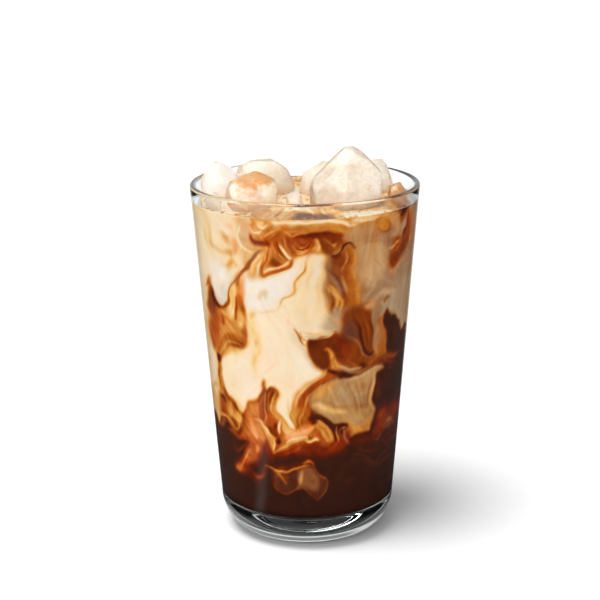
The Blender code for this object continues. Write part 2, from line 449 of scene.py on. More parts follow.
UPPER_LEFT = (
    cloud(TAN, 3, (-100, 136), (-28, 136), (-30, 118), (-40, 106), (-55, 96), (-61, 86), (-61, 62), (-69, 53),
          (-82, 48), (-100, 47)),
    blot(CREAM, 9, (-84, 108), (-72, 108), (-62, 112), (-55, 110)),
    blot(CREAM, 8, (-66, 124), (-62, 116)),
    blot(STRAW, 4, (-80, 131), (-68, 131), (-56, 130), share=0.5),
    blot(CREAM, 4.5, (-53, 129), (-53, 124), (-52, 120)),
    blot(STRAW, 3, (-60, 128), (-61, 122), (-60, 117)),
    blot(BUFF, 2.4, (-57, 127), (-56.5, 123), (-56, 119.5), (-53, 118), (-48, 117), (-43, 117.5)),
    blot(AMBER, 3, (-47.5, 125), (-45, 124), (-43, 121), share=0.8),
    blot(AMBER, 2.4, (-45, 118), (-42.5, 117.5), (-42, 116), share=0.8),
    blot(HONEY, 2.4, (-49, 112), (-45, 112), (-41.5, 114), (-39, 113), share=0.75),
    blot(PEACH, 3.6, (-39, 123), (-38, 120), (-39, 117)),
    blot(PEACH, 3, (-44, 129), (-40, 126), share=0.6),
    blot(MILK, 3.4, (-47, 130), (-44, 126), (-42, 124), share=0.6),
    blot(MILK, 5, (-62, 112), (-58, 110), (-56, 108), share=0.8),
    blot(BUFF, 1.4, (-46, 109), (-43, 111), (-39, 112.5), (-35, 114.5), share=0.6),
    cloud(DUN, 2, (-35, 130), (-31, 130), (-28.5, 126), (-27.5, 121), (-31, 120), (-34.5, 121.5), (-36, 126)),
    thread(TAN, 0.8, (-36.5, 129), (-36.3, 124), (-34.5, 120.6), (-31, 119.4), (-26, 119.8), edge=1),
)

DARK_WEDGE = (
    cloud(APRICOT, 3.2, (-62, 103), (-58, 95.5), (-54, 95), (-50, 97.5), (-46, 102), (-42, 105.5),
          (-38.5, 106), (-36.5, 100), (-36, 92), (-35, 85), (-44, 83.5), (-52, 80), (-58, 76), (-62, 73),
          (-70, 80), (-71, 88), (-70, 95)),
    cloud(COPPER, 2.2, (-60, 101), (-57, 94), (-55, 90), (-56, 85), (-60, 80), (-64, 76.5), (-69, 80),
          (-67, 90)),
    cloud(CHESTNUT, 2, (-61, 105.6), (-60, 99), (-59, 94), (-61, 90.5), (-65, 90.5), (-69, 92), (-71.5, 94),
          (-69.5, 96.3), (-66, 99), (-64.3, 102), (-65.3, 104.5)),
    thread(CARAMEL, 1, (-68.5, 102), (-66, 103.2), (-63, 104), (-60, 105), (-57.5, 107), edge=1.4),
    thread(BLACK, 2, (-60.6, 102), (-60.6, 98), (-60.2, 94), edge=1.6),
    cloud(RUST, 2.4, (-64, 90), (-60.5, 90.5), (-59, 87), (-60, 84.5), (-64, 84), (-66, 87)),
    cloud(RUST, 3, (-70.5, 85.5), (-67.5, 84), (-65.5, 80), (-65, 77), (-68, 77.5), (-71, 80)),
    blot(AMBER, 3.5, (-73.5, 84), (-72.5, 80), (-69.5, 76.5), share=0.6),
    blot(HONEY, 3, (-75, 87), (-76, 83), share=0.4),
    cloud(STRAW, 1.6, (-42, 104.6), (-40, 104), (-39.4, 101), (-41.5, 97.5), (-43, 93), (-46, 91.5),
          (-48, 94), (-46.5, 99)),
    blot(GOLD, 1.6, (-42.5, 103), (-44, 99), (-46, 95)),
    blot(RUST, 2, (-53.5, 92), (-52, 90), (-53, 87.5)),
    thread(HONEY, 1.4, (-56, 88), (-50, 86.6), (-44, 88.5), (-38, 89.6), edge=1.6),
    thread(HONEY, 1.2, (-57, 84.5), (-50, 85.6), (-44, 87), (-38, 87.4), edge=1.4),
    thread(GOLD, 1.2, (-54, 94), (-50, 92.4), (-47, 92.6), edge=1.6, share=0.7),
    blot(STRAW, 3.4, (-38.5, 96), (-37.5, 92), (-39, 90), share=0.85),
    cloud(PEACH, 1.6, (-34, 112.5), (-35.6, 109), (-37, 105.5), (-38.6, 103), (-38.6, 99), (-36.5, 98.6),
          (-35.4, 102), (-34.6, 107)),
    blot(FLAME, 2.6, (-39, 101.5), (-37.6, 99.5), (-39.5, 98)),
    thread(RUST, 1.5, (-40, 100), (-41.8, 97), (-42.6, 94), (-41.9, 91.8)),
    thread(CORAL, 0.8, (-34.9, 91), (-35, 88), (-35.2, 85.6)),
    cloud(MIST, 1.2, (-60, 104.5), (-59.4, 100), (-57.4, 96.8), (-55, 95.5), (-52, 95.8), (-49.5, 97.8),
          (-47, 101), (-45, 104.5), (-50, 108), (-56, 108.5)),
    cloud(PEARL, 3.2, (-61, 108), (-58.5, 101), (-55, 101.5), (-52, 104), (-47, 104.5), (-43, 107),
          (-48, 112), (-57, 112)),
    blot(MILK, 3, (-59, 104.5), (-55, 105.5), (-50, 108), share=0.8),
    thread(CHESTNUT, 0.9, (-60.2, 101), (-59.2, 97.6), (-57, 95.3), (-54.6, 94.5), (-51.6, 95.2), (-49, 97),
           (-46.6, 100.2), (-44.4, 103.6), (-42, 105.4), edge=0.9),
    thread(CHESTNUT, 1.5, (-51, 95.6), (-48.6, 97.8), (-46.4, 101)),
    thread(BLACK, 1.8, (-59.6, 97.5), (-57.4, 94.8), (-54.8, 94), edge=1.6, share=0.8),
    thread(HONEY, 1.1, (-42, 105.4), (-39.6, 106.4), (-37.6, 109), (-35.4, 111.8), (-33, 113.4)),
    thread(CARAMEL, 1.3, (-62.5, 73.5), (-60, 77.6), (-56.4, 80.4), (-52.6, 82.8), (-48.6, 83.8), (-44, 84.2),
           (-40, 84.9), (-35.8, 85), edge=1.6),
    thread(AMBER, 1.6, (-60, 75), (-56, 78), (-51, 80.6), (-45, 82), (-39, 82.8), edge=2.4),
    blot(STRAW, 3.4, (-57, 75), (-51, 77.6), (-44, 79), (-37, 80.4), share=0.7),
    blot(HONEY, 1.4, (-55, 77.5), (-48, 78.8), (-41, 80), share=0.35),
)

LOWER_LEFT = (
    blot(HONEY, 4.4, (-61.5, 73), (-62.6, 68), (-62.6, 62), (-60, 57), share=0.8),
    thread(CARAMEL, 1.9, (-62, 74), (-62.4, 70), (-63.6, 66), (-63, 62.6), (-61.5, 60), edge=1.8),
    blot(BLACK, 2.6, (-63, 74.5), (-61.2, 73.2), (-61.6, 71.6)),
    blot(BUFF, 2.2, (-82, 59), (-76, 60.2), (-70, 60.8), (-65, 62), share=0.8),
    blot(BUFF, 2.6, (-80, 71), (-76, 71.8), (-72, 71), share=0.7),
    blot(CREAM, 5, (-71, 78), (-71, 70), (-69, 66), share=0.7),
    cloud(HONEY, 2.6, (-68, 57), (-63, 60.5), (-56, 58.8), (-51, 57.4), (-47, 54.5), (-43, 53.5),
          (-42.6, 50.5), (-46.5, 48), (-53, 47.8), (-60, 49.5), (-66, 49), (-69.5, 52)),
    cloud(RUST, 2, (-64.6, 56.4), (-61, 58.6), (-57.6, 57.4), (-56.6, 53.6), (-59.5, 51), (-64.5, 51.4)),
    blot(MAHOGANY, 1.8, (-63.5, 57.4), (-60.5, 57.6), (-58, 55.8)),
    thread(RUST, 1.6, (-65, 51.4), (-60, 51.4), (-55.6, 51.2), edge=1.6),
    blot(CHESTNUT, 2.2, (-53.5, 50.4), (-50, 49.6), (-48, 49.8)),
    thread(AMBER, 1.2, (-53.6, 57.5), (-52, 54.5), (-53, 52), edge=1.4),
    thread(CARAMEL, 0.9, (-51.6, 57), (-50.8, 54), (-51.6, 51.6), share=0.6),
    blot(GOLD, 3, (-48, 54.5), (-45.5, 52.5), (-43.5, 51)),
    blot(STRAW, 2.4, (-47, 57.5), (-42.5, 55.5), (-40, 55)),
    cloud(BUFF, 1.8, (-96, 62), (-77, 59), (-70, 56), (-67.4, 51), (-69, 47.6), (-71.4, 45.6), (-74, 46.6),
          (-77, 48.6), (-82, 50.2), (-96, 50)),
    blot(CARAMEL, 2.6, (-70, 45.4), (-66, 46.2), (-62, 47.6), (-58.6, 47.4), share=0.75),
    thread(AMBER, 1.1, (-68, 49.4), (-63.6, 50), (-58.4, 49.4), (-54, 48.2), (-50.5, 46.6), (-47.4, 48),
           (-46, 50.4)),
    thread(AMBER, 0.9, (-58, 48.4), (-54, 46.6), (-50.4, 45.4), (-47, 46.8), edge=1.4, share=0.8),
    blot(CHESTNUT, 3, (-79, 48), (-76, 45), (-72, 42), share=0.45),
)

ROSE_PLUME = (
    cloud(RUST, 1.8, (-58, 44.6), (-53, 45.4), (-48.6, 45), (-45, 47), (-42.4, 50.6), (-40, 54), (-38, 58),
          (-35, 60), (-31, 60.5), (-30, 50), (-34, 43.6), (-42, 44.4), (-48, 43.2), (-54, 43.4)),
    cloud(COPPER, 1.6, (-53, 45), (-48, 44.6), (-44.4, 47), (-41.4, 51), (-39.4, 55), (-36.4, 58.8),
          (-33, 57), (-34, 48), (-39, 44.8), (-47, 43.8)),
    cloud(SALMON, 2, (-38.6, 52), (-37, 57), (-33.5, 59.6), (-29.6, 60.4), (-28, 55), (-27, 50), (-25.6, 46),
          (-28, 43.6), (-34, 43.8), (-39, 45)),
    cloud(CORAL, 2.6, (-39, 45), (-30, 44), (-29, 41), (-32, 36), (-36, 33.6), (-41, 31.6), (-47, 28.6),
          (-54, 29.6), (-52, 31.6), (-46, 34), (-42.4, 37), (-40.4, 41), share=0.85),
    blot(CORAL, 3, (-38, 43), (-42, 37), (-48, 32), (-52, 29), share=0.5),
    blot(EMBER, 3.4, (-50, 36), (-44, 32), (-37, 28), (-31, 30), share=0.6),
    blot(EMBER, 3.6, (-26, 44), (-24, 40), (-22, 36), share=0.55),
    blot(FLAME, 2.6, (-53, 30), (-49.6, 30.2), (-47.6, 31.4), share=0.75),
    blot(PEACH, 2.4, (-35.4, 52), (-35, 47), (-34, 44)),
    blot(BUFF, 2, (-33.4, 42), (-33.6, 39), share=0.6),
    thread(PEACH, 0.9, (-48, 31.6), (-45, 33.4), (-42, 36.4), (-39, 39), edge=1.4, share=0.6),
    thread(RUST, 1.6, (-29, 30.6), (-31.4, 28.8), (-36, 29.4), (-39, 31.4), edge=2.2, share=0.6),
    thread(CORAL, 1.8, (-26.4, 37), (-28.6, 33), (-31, 30), (-35, 28.6), edge=2.6, share=0.5),
    thread(MAHOGANY, 1.4, (-55, 41), (-51, 38.6), (-46, 39.6), (-42.6, 42), edge=1.8, share=0.5),
    thread(RUST, 0.8, (-54.6, 40), (-53, 37.4), (-49.6, 37.6), (-45, 39.4), (-42, 42), share=0.55),
    thread(CORAL, 1.6, (-50, 43), (-43, 43.6), (-38, 43), (-32, 43.6), (-28, 42.6), edge=1.8, share=0.6),
    thread(RUST, 1.2, (-29, 59), (-29.6, 56), (-28.6, 53), edge=1.4, share=0.8),
    thread(RUST, 1.2, (-33.6, 53.6), (-30, 52.4), (-27, 49.6), (-26, 46.4), share=0.8),
)

CENTRE_CREAM = (
    cloud(CREAM, 2, (-36, 113), (-28, 112), (-23, 110), (-14, 112), (-8, 116), (-2, 119), (9, 119.5),
          (12, 112), (12, 100), (14, 90), (2, 86.5), (0.6, 82), (5, 77.4), (9.6, 74.6), (10.6, 71.6),
          (4, 68.4), (-3, 65.5), (-8, 60), (-9, 51), (-13, 53.4), (-17.4, 55.4), (-20, 59), (-17.4, 64),
          (-19, 66.4), (-23.4, 65), (-25.4, 68.6), (-27.6, 64.4), (-32, 61), (-37, 59.6), (-40, 54.5),
          (-47, 57.5), (-56, 60), (-59.6, 66), (-59, 73), (-52, 77), (-38, 82), (-35, 92)),
    blot(MILK, 7, (-38, 76), (-38, 66), (-35, 60), share=0.55),
    blot(MILK, 8, (-6, 82), (0, 76), (4, 73), share=0.65),
    blot(TAN, 7, (-48, 70), (-46, 64), share=0.4),
    blot(STRAW, 2.6, (-50, 61), (-44, 57.6), (-40, 57), share=0.6),
    cloud(PEARL, 3, (-34, 112), (-22, 109.6), (-12, 112.4), (-6, 116), (-5, 110), (-8, 104), (-14, 100.6),
          (-22, 98), (-32, 98), (-35.4, 104)),
    blot(BLUSH, 2.2, (-26.4, 103), (-23.6, 104.4), (-21, 104.4), (-22.4, 102.8), share=0.65),
    cloud(TAN, 4, (-4, 118), (4, 118.6), (9.5, 119), (10.6, 110), (10.6, 98), (12, 90), (0, 90), (-8, 96),
          (-7, 104), (-4, 110)),
    blot(BUFF, 5, (8.5, 116), (9, 106), (10, 96), (11, 91), share=0.55),
    blot(FAWN, 1.6, (11, 118), (10.6, 110), (10.6, 100), share=0.5),
    thread(PEARL, 1.4, (6.4, 118), (5.4, 112), (4, 106), edge=2.6, share=0.6),
    thread(DUN, 1, (3, 116), (1.4, 110), (0.6, 104), edge=2.2, share=0.4),
    blot(STRAW, 2.6, (2.4, 118), (0.6, 114), (-3.6, 109.6), (-6.4, 105), (-10, 101.6), share=0.8),
    thread(HONEY, 0.8, (1.8, 119), (0.4, 115.6), (-1.6, 112.4), (-3.8, 109.8), (-5.6, 108.4), (-6.6, 105.6),
           (-8.4, 102.8), (-11.4, 101.2), (-14, 99.6), (-16.4, 98), edge=1),
    thread(CARAMEL, 0.6, (-0.4, 114.4), (-2.4, 111.6), (-4.4, 109.2), edge=0.8, share=0.8),
    thread(BUFF, 1, (-14, 98), (-19, 96.8), (-24, 97), (-28, 96.4), edge=1.4, share=0.5),
    blot(STRAW, 4, (-28, 97), (-31, 93), (-28.4, 85), (-30, 78), (-30.6, 70), share=0.9),
    blot(AMBER, 2, (-28, 97), (-31.4, 94.6), share=0.6),
    blot(AMBER, 1.6, (-28, 85.4), (-29.4, 83), share=0.5),
    thread(GOLD, 1, (-26.4, 88), (-27, 82), (-30.4, 77), (-31.4, 71), edge=2.2, share=0.45),
    blot(PEACH, 1.4, (-15, 101), (-10, 94), (-9, 90), share=0.2),
    blot(SMOKE, 4, (-9, 89.4), (-6, 87), (-4, 83), share=0.55),
    blot(SMOKE, 2.4, (-4, 84), (0, 81), (4, 77.6), (8.6, 75), share=0.6),
    blot(CREAM, 1.4, (-2.6, 88.2), (-1, 87.4), (0, 86)),
    thread(UMBER, 0.7, (-5.6, 90.2), (-4.4, 88), (-3.6, 85.8), (-1.6, 84.2), edge=1),
    thread(CARAMEL, 0.5, (-2.8, 89.6), (-3, 87.6), (-1.6, 86.4), (0.4, 86.4), edge=0.7),
)

UPPER_FOLDS = (
    cloud(AMBER, 2.4, (-36, 134), (-30, 126), (-26, 122), (-32, 113), (-28, 110), (-24, 112), (-22, 111),
          (-14, 113.4), (-8, 117), (-3, 118.4), (2, 118.6), (8, 119.6), (12, 119.5), (24, 121.4), (30, 123),
          (40, 124), (50, 126), (50, 134)),
    cloud(BUFF, 2, (-36, 120), (-27, 121), (-21, 122.4), (-20, 119), (-24, 115), (-27.4, 110.6), (-31, 109.6),
          (-33.6, 113)),
    thread(CARAMEL, 1.3, (-36.4, 110.8), (-34, 112.8), (-31, 114.8), (-28.4, 117), (-25, 119.6),
           (-22.6, 121.2)),
    blot(CARAMEL, 1.2, (-33.4, 113.2), (-31.6, 114.2), (-29, 116.4), share=0.7),
    thread(HONEY, 1.6, (-29, 110.6), (-26.6, 114), (-22, 118.4), (-19.4, 121.6), edge=1.6),
    thread(STRAW, 1, (-30.6, 112), (-27.6, 115), (-23, 119.4)),
    thread(TAN, 0.9, (-26.4, 111), (-24.4, 114.6), (-21, 118.4)),
    cloud(AMBER, 1.6, (-22.8, 111), (-22.4, 114.4), (-20.4, 118), (-18.6, 121.6), (-14.6, 122), (-12, 119),
          (-7.4, 118), (-9.6, 115.2), (-14, 112.8), (-19, 110.8)),
    cloud(CARAMEL, 2.4, (-21, 114), (-18.8, 118.4), (-16.6, 118.8), (-12, 116), (-15, 114.4)),
    blot(CHESTNUT, 1.8, (-19.6, 114.6), (-17.4, 116.4), (-14.6, 115.8), share=0.8),
    thread(COPPER, 0.8, (-20.4, 122.4), (-22, 118.6), (-23.2, 114.4), (-22.8, 110.8), (-19.4, 110.8),
           (-15, 112), (-11, 114.2), (-8.2, 116.4), (-7.2, 118), edge=0.8),
    thread(AMBER, 0.8, (-21.6, 112.2), (-17, 113), (-12.6, 115), (-9.6, 117.2), edge=0.9),
    thread(CARAMEL, 0.8, (-20, 113.6), (-15.6, 114.4), (-11.4, 116.6), edge=0.9),
    thread(CARAMEL, 1, (-16.4, 122.8), (-16, 119.6), (-13.4, 117.6), (-10, 117), edge=1),
    thread(CHESTNUT, 0.8, (-14.6, 123.4), (-13.8, 120.8), (-12, 118.8), (-9.4, 117.6), edge=0.8),
    thread(GOLD, 0.8, (-12.8, 122.4), (-11, 120.6), (-8.6, 119.4), edge=0.9),
    cloud(CARAMEL, 1.8, (-12.4, 124.4), (-10, 127), (-5, 127.6), (2, 127), (9, 127.4), (17, 127), (22, 126),
          (23, 122.8), (20, 121.6), (16, 120.4), (11, 119.8), (7, 120), (3, 118.8), (-2, 118.4), (-6, 119.2),
          (-10, 121)),
    cloud(RUST, 1.6, (-11.6, 123.6), (-8.6, 125.8), (-4, 125.4), (-4.6, 121.4), (-3.4, 119.2), (-8, 120.2)),
    cloud(CHESTNUT, 1.6, (5.4, 126.4), (12, 126.6), (18, 125.8), (21, 123.4), (17, 121.4), (12, 120.4),
          (7.6, 121), (5.4, 123)),
    cloud(RUST, 1.4, (-4.6, 125.2), (-1, 125.8), (4.4, 125.4), (4, 122.8), (0.6, 121.4), (-2.6, 122)),
    thread(HONEY, 0.7, (-5.4, 124.4), (-4, 121.4), (-0.4, 119.9), (3.4, 121), (4.8, 124), edge=0.8),
    thread(CARAMEL, 0.7, (-4.2, 124.2), (-2.6, 121.9), (0.2, 121), (2.6, 122), (3.6, 124.4), edge=0.8),
    thread(CHESTNUT, 1, (-8.4, 125.4), (-7.4, 122), (-5, 119.6), edge=1, share=0.7),
    thread(AMBER, 0.8, (-10.6, 125.2), (-9.4, 122.4), (-7, 120.2), edge=0.9),
    thread(AMBER, 0.8, (6.2, 120.6), (5.6, 123.2), (5.2, 125.6), edge=0.9),
    thread(AMBER, 0.8, (10.6, 120.8), (13, 122.6), (16.6, 123.6), edge=1, share=0.8),
    blot(MAHOGANY, 1.8, (12.6, 124.6), (16, 124.8), (19, 124.2), share=0.8),
    thread(CARAMEL, 2.2, (-9, 128.4), (-2, 129), (6, 128.9), (14, 128.8), (22, 128.2), (30, 128.9), edge=1.6),
    thread(BUFF, 1.6, (-34, 131), (-22, 130.6), (-12, 130.8), (0, 130.8), (12, 130.8), (24, 130.6),
           (36, 130.4), edge=1.4),
    cloud(DRAB, 2, (22, 129), (30, 129.2), (38, 128.6), (39, 125.4), (34, 124), (26, 123.6), (21, 124.6)),
    cloud(CARAMEL, 1.2, (39.4, 129.6), (44, 129.4), (48.4, 127.6), (49, 126), (46.6, 124.6), (41.6, 124.3),
          (38.6, 125.6), (38, 128)),
    blot(DUN, 4, (49, 129), (53, 127), (54, 124)),
    thread(EMBER, 1.4, (-25.6, 123.6), (-22.6, 123.6), (-19.6, 123.8), (-18.6, 121.6)),
    thread(CARAMEL, 0.8, (-29.4, 127), (-27, 125.4), (-24.6, 123.6), (-21, 122.6), edge=1),
    thread(AMBER, 1.4, (-29, 129.6), (-26.6, 126.6), (-22, 125), (-17, 125.6), edge=1.6),
    thread(GOLD, 1.2, (-27, 121.4), (-22.6, 121.4), (-20, 122), edge=1.6),
)

RIGHT_COLUMNS = (
    cloud(ROSEWOOD, 2.4, (10.6, 119.6), (20, 121), (30, 123), (40, 124), (50, 126), (62, 130), (96, 133),
          (96, 78), (80, 82), (70, 83), (64, 88), (56, 91), (50, 94), (50, 86), (52.6, 78), (54, 73),
          (12, 74), (16, 82), (12, 88), (13, 97), (11.4, 108)),
    cloud(DRAB, 2.2, (25, 121.4), (30, 122.8), (38, 124.2), (47, 124), (52, 126), (57, 129), (54, 122.5),
          (49, 119), (46, 115), (45, 110.6), (42, 105), (38, 101), (33, 97), (30, 99), (28.4, 107),
          (26.4, 114)),
    cloud(BRONZE, 2.2, (11.4, 119.4), (16, 120.4), (21, 121.8), (25, 121.6), (26, 116), (25.6, 106),
          (23.4, 98), (18, 98), (14, 96), (12.4, 101), (12, 109)),
    cloud(CARAMEL, 2, (21.6, 121.6), (25, 120.4), (27.6, 113), (29, 106), (30.6, 99), (25, 94), (21.6, 97),
          (22.6, 106)),
    thread(HONEY, 1.8, (24.4, 120.6), (26, 113), (27.6, 105), (28.6, 98), edge=2, share=0.7),
    thread(RUST, 1.1, (20.6, 120.6), (21.6, 113), (21.4, 106), (20.4, 100), (19, 95), edge=1.6),
    thread(DRAB, 2.2, (11.8, 117), (12, 112.4), (15, 110.4), (18, 107.2), (19.6, 103.6), edge=1.6),
    thread(UMBER, 1, (11.4, 114), (14.4, 112.4), (17.4, 109.8), (20, 105.6), (20.6, 102)),
    thread(AMBER, 1.6, (11.6, 107.4), (13.6, 106.6), (15.4, 103.8), (16, 100.4), (15, 97), edge=1.4),
    thread(HONEY, 1.3, (16.6, 106.6), (17.8, 103.4), (18.6, 99.6), (18, 96)),
    thread(CHESTNUT, 1, (14.4, 105.4), (14.8, 102.6), (13.6, 99), (13.4, 96), edge=1),
    thread(BUFF, 0.7, (12.4, 108.6), (15, 107.4), (16.6, 104.6), (17.2, 101), edge=0.9, share=0.8),
    thread(SMOKE, 1.1, (19, 111), (20.6, 107), (22, 103.6), edge=1.4, share=0.5),
    cloud(TAUPE, 2.6, (13, 97), (19, 96), (22, 95), (20, 89.6), (12, 89.4), (9, 92)),
    cloud(DRAB, 2, (21.6, 96.6), (26, 97.4), (28.6, 94), (29.6, 90), (25, 88), (21, 90)),
    blot(FAWN, 2, (13, 94), (17, 93), (20, 91.6), share=0.8),
    cloud(CHESTNUT, 2.2, (20, 96), (29, 98), (36, 97), (40, 92), (42.4, 86), (44, 80), (44, 75.6), (36, 72.6),
          (28, 73.4), (21, 74), (17.6, 78), (14, 84), (15, 88.6), (20, 88.8)),
    cloud(EMBER, 2.2, (15, 88), (19.6, 88), (22, 84), (22.6, 79), (20.4, 75.6), (17.8, 79), (15.6, 83.4)),
    blot(RUST, 2.6, (19.4, 84), (21.4, 80.6), (23.6, 78), share=0.6),
    cloud(SHADE, 1.8, (22, 91.4), (26, 92), (29.4, 90), (29, 86.4), (25, 84.8), (21.6, 87.4)),
    thread(UMBER, 1.8, (21.6, 93.6), (25, 92.4), (28, 89), (28.6, 85.4), edge=1.6),
    thread(HAZEL, 1.1, (23.4, 87), (27, 84.8), (30.4, 81.8), (33, 79.2), (37, 78), (40, 77.4)),
    thread(BLACK, 1.3, (29, 92), (30.4, 87), (32.2, 83), (34.6, 79.8), (38.6, 78.4), (42.2, 79.2)),
    thread(MAHOGANY, 1.2, (26, 97), (28.6, 92), (29.6, 87.6), edge=1.4, share=0.8),
    thread(CARAMEL, 0.9, (33.8, 93.4), (35.6, 88), (37.6, 83), edge=1.4, share=0.6),
    thread(MAHOGANY, 1, (37.6, 93.4), (38.8, 88), (40.6, 82.4), edge=1.4),
    blot(BLACK, 1.6, (33.4, 75.4), (35.4, 74.6), (37, 73.4), share=0.8),
    thread(CARAMEL, 0.8, (24, 76.4), (29, 74.8), (33, 73.8)),
    cloud(CARAMEL, 1.8, (43.6, 93), (47.4, 93.6), (49.6, 88), (51.4, 82), (52.6, 77.4), (48, 75.4),
          (44.4, 77.4), (43.4, 84)),
    blot(HAZEL, 2.6, (45.6, 91), (46.4, 85), (47.4, 79), share=0.6),
    thread(CARAMEL, 1, (48, 91), (49.4, 85), (50.8, 79.4), edge=1.6, share=0.6),
    thread(DRAB, 2.6, (38.4, 99), (40, 94), (41.6, 88), (43.2, 82), (44.6, 78), edge=1.8),
    blot(TAUPE, 2.4, (39, 97), (40.6, 92), (42, 87), share=0.4),
    blot(DUN, 3, (33, 97), (37, 97), (40, 99)),
    thread(TAUPE, 2, (32, 100), (37, 103.4), (42, 107), (46, 107), (52, 104.6), (58, 104), edge=2.6),
    blot(SMOKE, 2.8, (40, 99.8), (46, 101.4), (52, 101), (58, 98.6), (64, 95), share=0.8),
    cloud(ROSEWOOD, 3.4, (46, 110), (54, 110), (62, 113), (68, 119), (70, 127), (66, 131), (78, 132),
          (96, 132), (96, 108), (84, 106), (74, 107), (64, 106.6), (54, 106), (48, 107.6)),
    blot(CORAL, 4, (76, 126), (74, 120), (80, 116), share=0.5),
    blot(DRAB, 3, (58, 112), (64, 113.6), (70, 116), (78, 114), share=0.6),
    blot(SMOKE, 3, (74, 112), (80, 113), (88, 112), share=0.4),
    thread(PEACH, 0.9, (50, 109.4), (56, 110.4), (62, 112), (68, 113), edge=1.6, share=0.5),
    blot(DRAB, 3.4, (47, 118), (47.6, 114), (46, 110)),
    cloud(RUST, 1.6, (48, 113), (49.4, 110.8), (53, 110.2), (57, 112), (61.4, 114.4), (65.6, 116.6),
          (67.6, 120), (68, 125), (66.6, 129), (63.8, 130.6), (62, 127.6), (62.6, 124.6), (60, 124),
          (58.6, 121.4), (55, 122.4), (52, 122.2), (50.4, 119.4)),
    cloud(CHESTNUT, 2, (50, 113.6), (54, 111.4), (58, 113.4), (62, 116), (66, 119), (66.6, 125), (64.4, 126),
          (62, 120.6), (56, 115.6)),
    blot(MAHOGANY, 1.6, (58.4, 121.6), (60.4, 123.2), (62.4, 122.6)),
    thread(MAHOGANY, 1.2, (57, 119.6), (59, 121.8), (61.8, 123.2), (64, 126.6), (64.8, 129.6), edge=1.4),
    thread(CARAMEL, 1.4, (49.6, 116), (53, 116.8), (56.6, 119.6), (57.6, 121.6), edge=1.4),
    thread(AMBER, 0.8, (51.6, 121.6), (53.6, 119.8), (56, 120.6), edge=1, share=0.7),
    thread(RUST, 1.6, (66, 117), (68.6, 121), (69.4, 126), (68, 130), edge=2, share=0.8),
    thread(CARAMEL, 1.2, (51, 129.4), (57, 129.8), (62, 130.4)),
    thread(DREGS, 0.6, (11.6, 120.2), (12.6, 119.6), (16, 119.9), (18.6, 121.2), (21, 122.3), (23.8, 122.5),
           (24.8, 121.2), (25.4, 119.8), (26.4, 119.4), edge=0.7),
    blot(MAHOGANY, 1.2, (12.4, 119), (15, 118.8), (17.4, 119.4)),
    blot(MAHOGANY, 0.9, (25.2, 120.6), (26, 119.7)),
    thread(CARAMEL, 0.8, (13.4, 121.6), (16.4, 121.6), (19, 122.8), edge=0.9),
)

PALE_RAGS = (
    cloud(TAUPE, 2.2, (49, 97), (55, 101), (62, 104), (74, 104), (96, 103), (96, 81), (84, 82), (79, 83),
          (75, 84.6), (70, 83), (66.6, 85.6), (65, 88.6), (60, 90), (55, 91.6), (51, 94.4)),
    thread(ASH, 3, (49.8, 97.4), (54, 95.6), (58, 93), (63, 90.6), (68, 88), (74, 86.6), (82, 85.6), (94, 85),
           edge=2),
    thread(TAUPE, 1.6, (50, 97.4), (47, 95), (44.6, 92.6), edge=1.8, share=0.8),
    blot(SMOKE, 1.2, (44, 98), (47.4, 97), (49.6, 98.6), share=0.7),
    blot(UMBER, 1.4, (47, 97.4), (49, 99.4), (52, 99), share=0.5),
    cloud(DREGS, 1, (50.4, 95), (52.4, 93), (55, 90.8), (57, 90.3), (59, 90), (61.4, 88.6), (63.6, 88),
          (65.4, 87.6), (66, 85), (67.4, 83), (69.4, 82.4), (71.6, 83.4), (74.6, 84), (78, 83), (82, 81),
          (96, 79), (96, 58), (96, 45), (44, 45), (43.6, 68), (50, 71.4), (53.4, 76), (52.2, 80.6),
          (50.6, 85), (49.2, 89), (48.4, 93)),
    blot(MAHOGANY, 4, (55, 86), (60, 83), (60, 78), share=0.22),
    blot(HAZEL, 2.4, (73, 82.6), (79, 81.6), (86, 80), share=0.7),
    blot(CARAMEL, 1.2, (65.6, 87.4), (66.6, 85), (68, 83.4), share=0.5),
)

